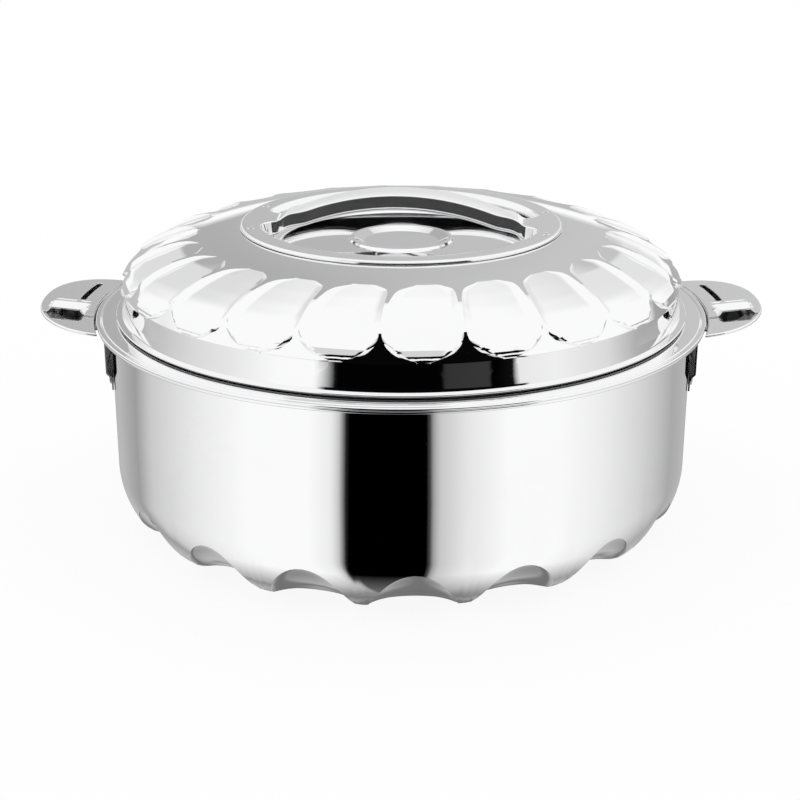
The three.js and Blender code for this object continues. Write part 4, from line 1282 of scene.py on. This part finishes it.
def ear_cover(side, word):
    """The upper sheet of a side handle."""
    base = cover_outline()
    ring = []
    for inset, drop in COVER_SECTION:
        loop = moved_loop(base, inset)
        ring.append([Vector((place.x, place.y, lip_height(place) - drop)) for place in loop])
    slot_ring = [level(slot_loop(SLOT_HALF_WIDTH + inset), -drop) for inset, drop in SLOT_SECTION]
    extra = [Vector((x, y)) for y in LIP_ROWS for x in LIP_COLUMNS]
    for step in range(1, 10):
        y = -EAR_SEAM * step / 10
        extra.append(Vector((LIP_START - LIP_RISE * y / EAR_SEAM, y)))
        extra.append(Vector((LIP_END + LIP_RISE * y / EAR_SEAM, y)))
    return on_pot(pressed_sheet(
        f"{word}_handle_cover_sheet", [ring, slot_ring], extra,
        lip_height, lambda place: lip_height(place) - SHEET,
    ), side)


print("corners of the slot:", len(slot_loop(SLOT_HALF_WIDTH)))

# %% [markdown]
# Both handles are made and given their finishes. Inside the pocket, the part under the cover gets
# the near-black steel as painted shade, and the open part a duller steel, a little darker as painted
# shade of the hollow.

# %% Side handles
POCKET_UNDER_COVER = -4.0
POCKET_WALL_TOP = 102.5
POCKET_FRONT = -26.0
POCKET_BACK = 38.0
POCKET_NEAR = 156.0
POCKET_FAR = 176.0
FACING_UP = 0.3


def pocket_shade_slot(depth, height):
    """A face's slot inside the pocket: painted shade under the cover, pocket steel, or the handle's own."""
    if depth > POCKET_UNDER_COVER:
        return 1
    if depth > -EAR_SEAM or height < POCKET_WALL_TOP:
        return 2
    return 0


for side, word in SIDES:
    plate = close_up(ear_plate(side, word), fold=40.0)
    finished(plate, handle_finish, "pot", [f"{word}_handle_plate"])
    # Pocket faces under the cover get the near-black steel as painted shade, open ones the darker pocket
    # steel.
    plate.data.materials.append(painted_shade_steel)
    plate.data.materials.append(pocket_steel)
    for face in plate.data.polygons:
        reach = abs(face.center.x) / MM
        depth = face.center.y / MM
        in_pocket = POCKET_FRONT < depth < POCKET_BACK and POCKET_NEAR < reach < POCKET_FAR
        if in_pocket and face.normal.z > FACING_UP:
            face.material_index = pocket_shade_slot(depth, face.center.z / MM)
    cover = close_up(ear_cover(side, word), fold=20.0)
    finished(cover, handle_finish, "pot", [f"{word}_handle_cover"])

# %% [markdown]
# Under each handle a folded strip holds it to the wall: a foot on the shell with two studs, a small
# joggle outwards, and an arm that turns out below the flange. It is a short piece of a turned
# shape, so the profile is swept through a small angle and closed at both ends.

# %% Brackets
BRACKET_COLUMNS = 24
BRACKET_ANGLE = 24.0
FOOT_FACE = WALL_RADIUS + GAP + SHEET
ARM_FACE = FOOT_FACE + 2.6
BRACKET_CORNERS = [
    (FOOT_FACE, 70.0, 0.2), (FOOT_FACE, 76.0, 1.2), (ARM_FACE, 78.6, 1.6), (ARM_FACE, 101.5, 1.4),
    (155.4, 101.5, 1.2), (155.4, 103.75, 0.2), (154.6, 103.75, 0.2), (154.6, 102.3, 0.4),
    (FOOT_FACE + 1.8, 102.3, 0.6), (FOOT_FACE + 1.8, 78.9, 0.8), (FOOT_FACE - 0.8, 76.3, 0.6),
    (FOOT_FACE - 0.8, 70.0, 0.2),
]


def bracket(side, word):
    """The folded strip under a side handle."""
    profile = rounded(BRACKET_CORNERS, steps=5)
    rows = len(profile)
    points = []
    for column in range(BRACKET_COLUMNS + 1):
        azimuth = 90.0 - BRACKET_ANGLE / 2 + BRACKET_ANGLE * column / BRACKET_COLUMNS
        for place in profile:
            spot = around(place.x, place.y, azimuth)
            points.append(Vector((side * spot.x, spot.y, spot.z)))
    faces = strip_faces(rows, BRACKET_COLUMNS + 1, True, False)
    flat, caps = sheet_skin(profile, [], [], [], lambda place: 0.0)
    row_at = {(round(place.x, 4), round(place.y, 4)): row for row, place in enumerate(profile)}
    cap_rows = [row_at[(round(corner.x, 4), round(corner.y, 4))] for corner in flat]
    for start in (0, BRACKET_COLUMNS * rows):
        faces.extend(tuple(start + cap_rows[corner] for corner in cap) for cap in caps)
    return mesh_piece(f"{word}_bracket", points, faces)


for side, word in SIDES:
    strip = close_up(bracket(side, word), fold=40.0)
    finished(strip, bracket_steel, "pot", [f"{word}_handle_bracket"])

# %% [markdown]
# The studs are all of one form, a low dome on a short shank. One is turned at the origin, and the
# stud tree sets it at each place, aimed along the place's own direction.

# %% Studs
STUD_SEAT = WALL_RADIUS + 2 * GAP + SHEET
STUD_HEIGHT = 73.0
DISC_STUD_RADIUS = 75.4


def stud_template(head, shank, crown, length):
    """One stud standing at the origin."""
    profile = [Vector((0.0, -length)), Vector((shank, -length)), Vector((shank, 0.0)), Vector((head, 0.0))]
    for step in range(1, 8):
        turn = math.pi / 2 * step / 8
        profile.append(Vector((head * math.cos(turn), crown * (0.25 + 0.75 * math.sin(turn)))))
    profile.append(Vector((0.0, crown)))
    return close_up(mesh_piece("stud_template", *turned(profile, columns=28)), fold=40.0)


def studs(name, places, template):
    """All studs of one body: places are (point, aim) in millimetres."""
    piece = mesh_piece(name, [point for point, _ in places], [])
    aim = piece.data.attributes.new("aim", "FLOAT_VECTOR", "POINT")
    for index, (_, direction) in enumerate(places):
        aim.data[index].vector = direction
    baked(piece, stud_tree, stud_inputs, {"Stud": template, "Size": 1.0, "Finish": stud_steel})
    bpy.data.objects.remove(template)
    return close_up(piece, fold=40.0)


up = Vector((0.0, 0.0, 1.0))
wall_places = []
for side, _ in SIDES:
    for turn in (-8.0, 8.0):
        direction = around(1.0, 0.0, side * (90.0 + turn))
        wall_places.append((direction * STUD_SEAT + up * STUD_HEIGHT, direction))
wall_stud = stud_template(head=3.0, shank=1.6, crown=1.1, length=SHEET + GAP)
wall_studs = studs("bracket_studs", wall_places, wall_stud)
finished(wall_studs, stud_steel, "pot", [
    "right_bracket_rivet_front", "right_bracket_rivet_back",
    "left_bracket_rivet_front", "left_bracket_rivet_back",
])

disc_places = []
for turn in (18.0, -18.0, 198.0, 162.0):
    lean = math.radians(turn + LID_TURN)
    place = Vector((DISC_STUD_RADIUS * math.cos(lean), DISC_STUD_RADIUS * math.sin(lean), DISC_TOP))
    disc_places.append((place, up))
disc_stud = stud_template(head=2.0, shank=1.2, crown=0.5, length=1.8)
disc_studs = studs("lid_handle_studs", disc_places, disc_stud)
finished(disc_studs, stud_steel, "lid", [f"lid_handle_rivet_{index}" for index in range(1, 5)])

# %% [markdown]
# The foam of pot and lid fills the room between two turned sheets, so it is turned too, as a
# profile that keeps clear of the pressed dimples and petals. The coarser CAD solids would come
# through the bowl's rounded corner.

# %% Foam
foam_profile = rounded([
    (0.0, 2.2, 0), (112.0, 2.2, 2.0), (119.0, 5.4, 4.0), (127.0, 11.8, 6.0), (134.4, 17.6, 6.0),
    (142.4, 27.0, 6.0), (144.1, 36.0, 4.0), (144.1, 103.4, 0.5), (131.3, 103.4, 0.5), (128.5, 14.8, 31.5),
    (0.0, 14.8, 0),
], steps=12)
pot_foam = close_up(mesh_piece("pot_foam", *turned(foam_profile, columns=192)), fold=50.0)
finished(pot_foam, foam, "pot", ["pot_insulation"])
lid_foam_profile = rounded([
    (0.0, 137.9, 0), (60.6, 136.8, 2.0), (72.9, 143.0, 1.0), (74.0, 146.0, 1.0), (80.8, 146.0, 4.0),
    (100.0, 142.6, 6.0), (107.6, 138.8, 20.0), (116.0, 135.0, 20.0), (124.4, 130.9, 20.0),
    (129.8, 127.2, 10.0), (134.0, 122.6, 8.0), (136.5, 118.4, 4.0), (137.1, 107.3, 0.4),
    (127.0, 107.3, 0.3), (127.0, 100.3, 0.3), (124.0, 100.3, 0.3), (116.4, 107.3, 4.0),
    (60.0, 110.9, 40.0), (0.0, 112.3, 0),
], steps=6)
lid_foam = close_up(mesh_piece("lid_foam", *turned(lid_foam_profile, columns=192)), fold=50.0)
finished(lid_foam, foam, "lid", ["lid_insulation"])

# %% [markdown]
# Mirror steel is only as good as what it mirrors. A white studio tent stands round the pot, with a
# dark card in front, soft grey to the sides and behind, and a white ceiling. It is drawn in the
# world by direction, so it looks the same from every piece. First come the directions: azimuth and
# height in the tent, and for the card over the back how steep a mirror has to be to show it.

# %% Directions in the tent
SIGHT_LINE = (0.0, 0.9613, -0.2756)
CARD_NARROWING = 0.55

world = bpy.data.worlds.new("white tent")
bpy.context.scene.world = world
world.use_nodes = True
sky = world.node_tree
sky.nodes.clear()


def times(first, second):
    """The product of two values in the world's tree."""
    return math_node(sky, "MULTIPLY", first, second)


def parts_of(vector):
    """The three parts of a vector."""
    return add(sky, "ShaderNodeSeparateXYZ", {0: vector}).outputs


sky_direction = add(sky, "ShaderNodeTexCoord").outputs["Generated"]
sky_x, sky_y, sky_z = parts_of(sky_direction)
sky_azimuth = math_node(sky, "ARCTAN2", sky_x, times(sky_y, -1.0))
sky_share = spread(sky, sky_azimuth, -math.pi, math.pi)
sky_height = times(math_node(sky, "ARCSINE", sky_z), 180.0 / math.pi)
sight = add(sky, "ShaderNodeVectorMath", {0: sky_direction, 1: SIGHT_LINE}, operation="SUBTRACT")
facing = add(sky, "ShaderNodeVectorMath", {0: sight.outputs[0]}, operation="NORMALIZE")
facing_x, facing_y, _ = parts_of(facing.outputs[0])
facing_x = times(facing_x, CARD_NARROWING)
steepness = math_node(sky, "ADD", times(facing_x, facing_x), times(facing_y, facing_y))
steepness = math_node(sky, "SQRT", steepness)
print("world tree so far:", len(sky.nodes), "nodes")

# %% [markdown]
# The tones round the pot are ramps of azimuth in degrees and grey from 0 to 255, as read off.
# The low wall is what the pot's side mirrors, the middle one the lid's band, and the back wall the
# petals and the disc.

# %% Tones of the tent
def linear(tone):
    """A grey of 0 to 255 as the eye sees it, as a light value."""
    value = tone / 255.0
    return value / 12.92 if value <= 0.04045 else ((value + 0.055) / 1.055) ** 2.4


def grey(tone):
    """A grey of 0 to 255 as a colour."""
    return (linear(tone), linear(tone), linear(tone), 1.0)


def wall_tone(stops):
    """The tent's tone round the pot: stops of azimuth and grey."""
    node = add(sky, "ShaderNodeValToRGB", {"Fac": sky_share})
    elements = node.color_ramp.elements
    node.color_ramp.interpolation = "LINEAR"
    while len(elements) < len(stops):
        elements.new(0.5)
    for element, (azimuth, _) in zip(elements, stops):
        element.position = (azimuth + 180.0) / 360.0
    for element, (_, tone) in zip(elements, stops):
        element.color = grey(tone)
    return node.outputs["Color"]


def plain_tone(tone):
    """One grey everywhere."""
    node = add(sky, "ShaderNodeRGB")
    node.outputs[0].default_value = grey(tone)
    return node.outputs[0]


low_wall = wall_tone([
    (-180, 112), (-172, 122), (-164, 186), (-150, 186), (-128, 160), (-116, 204), (-84, 240), (-62, 255),
    (-36, 255), (-27, 240), (-24, 205), (-21.5, 60), (-20.8, 0), (11, 0), (12.2, 150), (15, 203),
    (26, 234), (42, 255), (64, 255), (84, 242), (108, 216), (135, 172), (160, 186), (170, 122), (180, 112),
])
middle_wall = wall_tone([
    (-180, 195), (-113, 195), (-88, 222), (-68, 236), (-48, 255), (-33, 255), (-29, 190), (-25.5, 30),
    (-25, 2), (16, 2), (17, 52), (34, 56), (35, 0), (43.6, 15), (46.1, 236), (62, 244), (88, 222), (106, 178),
    (130, 160), (180, 195),
])
front_band = wall_tone([(-180, 255), (-130, 255), (-90, 225), (90, 225), (130, 255), (180, 255)])
back_wall = wall_tone([
    (-180, 232), (-166, 222), (-150, 226), (-134, 255), (136, 255), (150, 232), (166, 228), (180, 232),
])
card_tone = wall_tone([
    (-180, 190), (-168, 176), (-150, 178), (-90, 190), (90, 196), (150, 196), (168, 200), (180, 190),
])
print("world tree so far:", len(sky.nodes), "nodes")

# %% [markdown]
# The layers are laid over each other from the bottom up: walls by height, the ceiling, the card
# over the back, a grey strip and the black card in front, and the floor. The camera and plain
# light on matt things see white.

# %% World
BLACK_CARD_TONE = 6
STRIP_TONE = 216
FLOOR_TONE = 118
WHITE = 255


def fade(value, low, high, most=1.0):
    """A share that is 0 at low and its most at high."""
    return spread(sky, value, low, high, 0.0, most)


def over(first, second, factor):
    """The second tone over the first by a factor."""
    inputs = {"Factor": factor, "A": first, "B": second}
    return add(sky, "ShaderNodeMix", inputs, data_type="RGBA").outputs["Result"]


card_height = times(fade(sky_height, 0.0, 1.0), fade(sky_height, 32.0, 30.0))
card_width = times(fade(sky_azimuth, -0.56, -0.50), fade(sky_azimuth, 0.88, 0.84))
strip_height = times(fade(sky_height, 30.5, 32.0), fade(sky_height, 49.0, 47.5))
strip_width = times(fade(sky_azimuth, -0.95, -0.85), fade(sky_azimuth, 0.4, 0.3))
rays = add(sky, "ShaderNodeLightPath").outputs
plain_ray = math_node(sky, "MAXIMUM", rays["Is Camera Ray"], rays["Is Diffuse Ray"])

upper = over(back_wall, plain_tone(WHITE), fade(sky_height, 40.0, 58.0))
upper = over(upper, card_tone, fade(steepness, 0.298, 0.284))
tent = low_wall
for tone, share in (
    (middle_wall, fade(sky_height, -15.0, -12.0)),
    (front_band, fade(sky_height, 2.5, 4.5)),
    (upper, fade(sky_height, 7.0, 10.0)),
    (plain_tone(STRIP_TONE), times(strip_height, strip_width)),
    (plain_tone(BLACK_CARD_TONE), times(card_height, card_width)),
    (plain_tone(FLOOR_TONE), fade(sky_height, -44.0, -80.0, 0.9)),
    (plain_tone(WHITE), plain_ray),
):
    tent = over(tent, tone, share)
sky_light = add(sky, "ShaderNodeBackground", {"Color": tent, "Strength": 1.0})
add(sky, "ShaderNodeOutputWorld", {"Surface": sky_light.outputs[0]})
print("world tree:", len(sky.nodes), "nodes")

# %% [markdown]
# The floor is a large white disc. It takes the soft contact shadow but isn't mirrored in the
# steel, because in a tent the pot stands on the same white sweep that the world already shows. It
# glows a little, so that it is white right up to the horizon.

# %% Floor
FLOOR_RADIUS = 4000.0
FLOOR_DROP = 0.05
FLOOR_CORNERS = 64
FLOOR_GLOW = 0.88

floor_turns = [360.0 * step / FLOOR_CORNERS for step in range(FLOOR_CORNERS)]
floor_points = [around(FLOOR_RADIUS, -FLOOR_DROP, azimuth) for azimuth in floor_turns]
floor = mesh_piece("floor", floor_points, [tuple(range(FLOOR_CORNERS))])
floor_finish = bpy.data.materials.new("white sweep")
floor_finish.use_nodes = True
floor_tree = floor_finish.node_tree
floor_tree.nodes.clear()
floor_matt = add(floor_tree, "ShaderNodeBsdfDiffuse", {"Color": (1.0, 1.0, 1.0, 1.0)})
floor_light = add(floor_tree, "ShaderNodeEmission", {"Strength": 1.0})
floor_mix = add(floor_tree, "ShaderNodeMixShader", {
    0: FLOOR_GLOW, 1: floor_matt.outputs[0], 2: floor_light.outputs[0],
})
add(floor_tree, "ShaderNodeOutputMaterial", {"Surface": floor_mix.outputs[0]})
floor.data.materials.append(floor_finish)
floor.visible_glossy = False
print("floor faces up:", floor.data.polygons[0].normal.z > 0)

# %% [markdown]
# The camera stands in front and looks down at about twenty degrees, with the long lens of a
# product picture, so the circles of rim and lid keep their proportions.

# %% Camera
CAMERA_PLACE = (0.0, -0.778, 0.33759)
CAMERA_TARGET = Vector((0.0, 0.0, 0.05396))
CAMERA_ROLL = math.radians(0.12)
LENS_MM = 71.88
SENSOR_MM = 36.0
SIDE_SHIFT = -0.0011

camera_data = bpy.data.cameras.new("camera")
camera_data.lens = LENS_MM
camera_data.sensor_width = SENSOR_MM
camera_data.shift_x = SIDE_SHIFT
camera = bpy.data.objects.new("camera", camera_data)
bpy.context.collection.objects.link(camera)
camera.location = CAMERA_PLACE
camera_aim = CAMERA_TARGET - camera.location
camera.rotation_mode = "QUATERNION"
camera.rotation_quaternion = camera_aim.to_track_quat("-Z", "Y")
camera.rotation_mode = "XYZ"
camera.rotation_euler.rotate_axis("Z", CAMERA_ROLL)
bpy.context.scene.camera = camera
bpy.context.scene.view_settings.view_transform = "Standard"
print("camera looks down by", round(math.degrees(math.atan2(-camera_aim.z, camera_aim.y)), 1), "degrees")
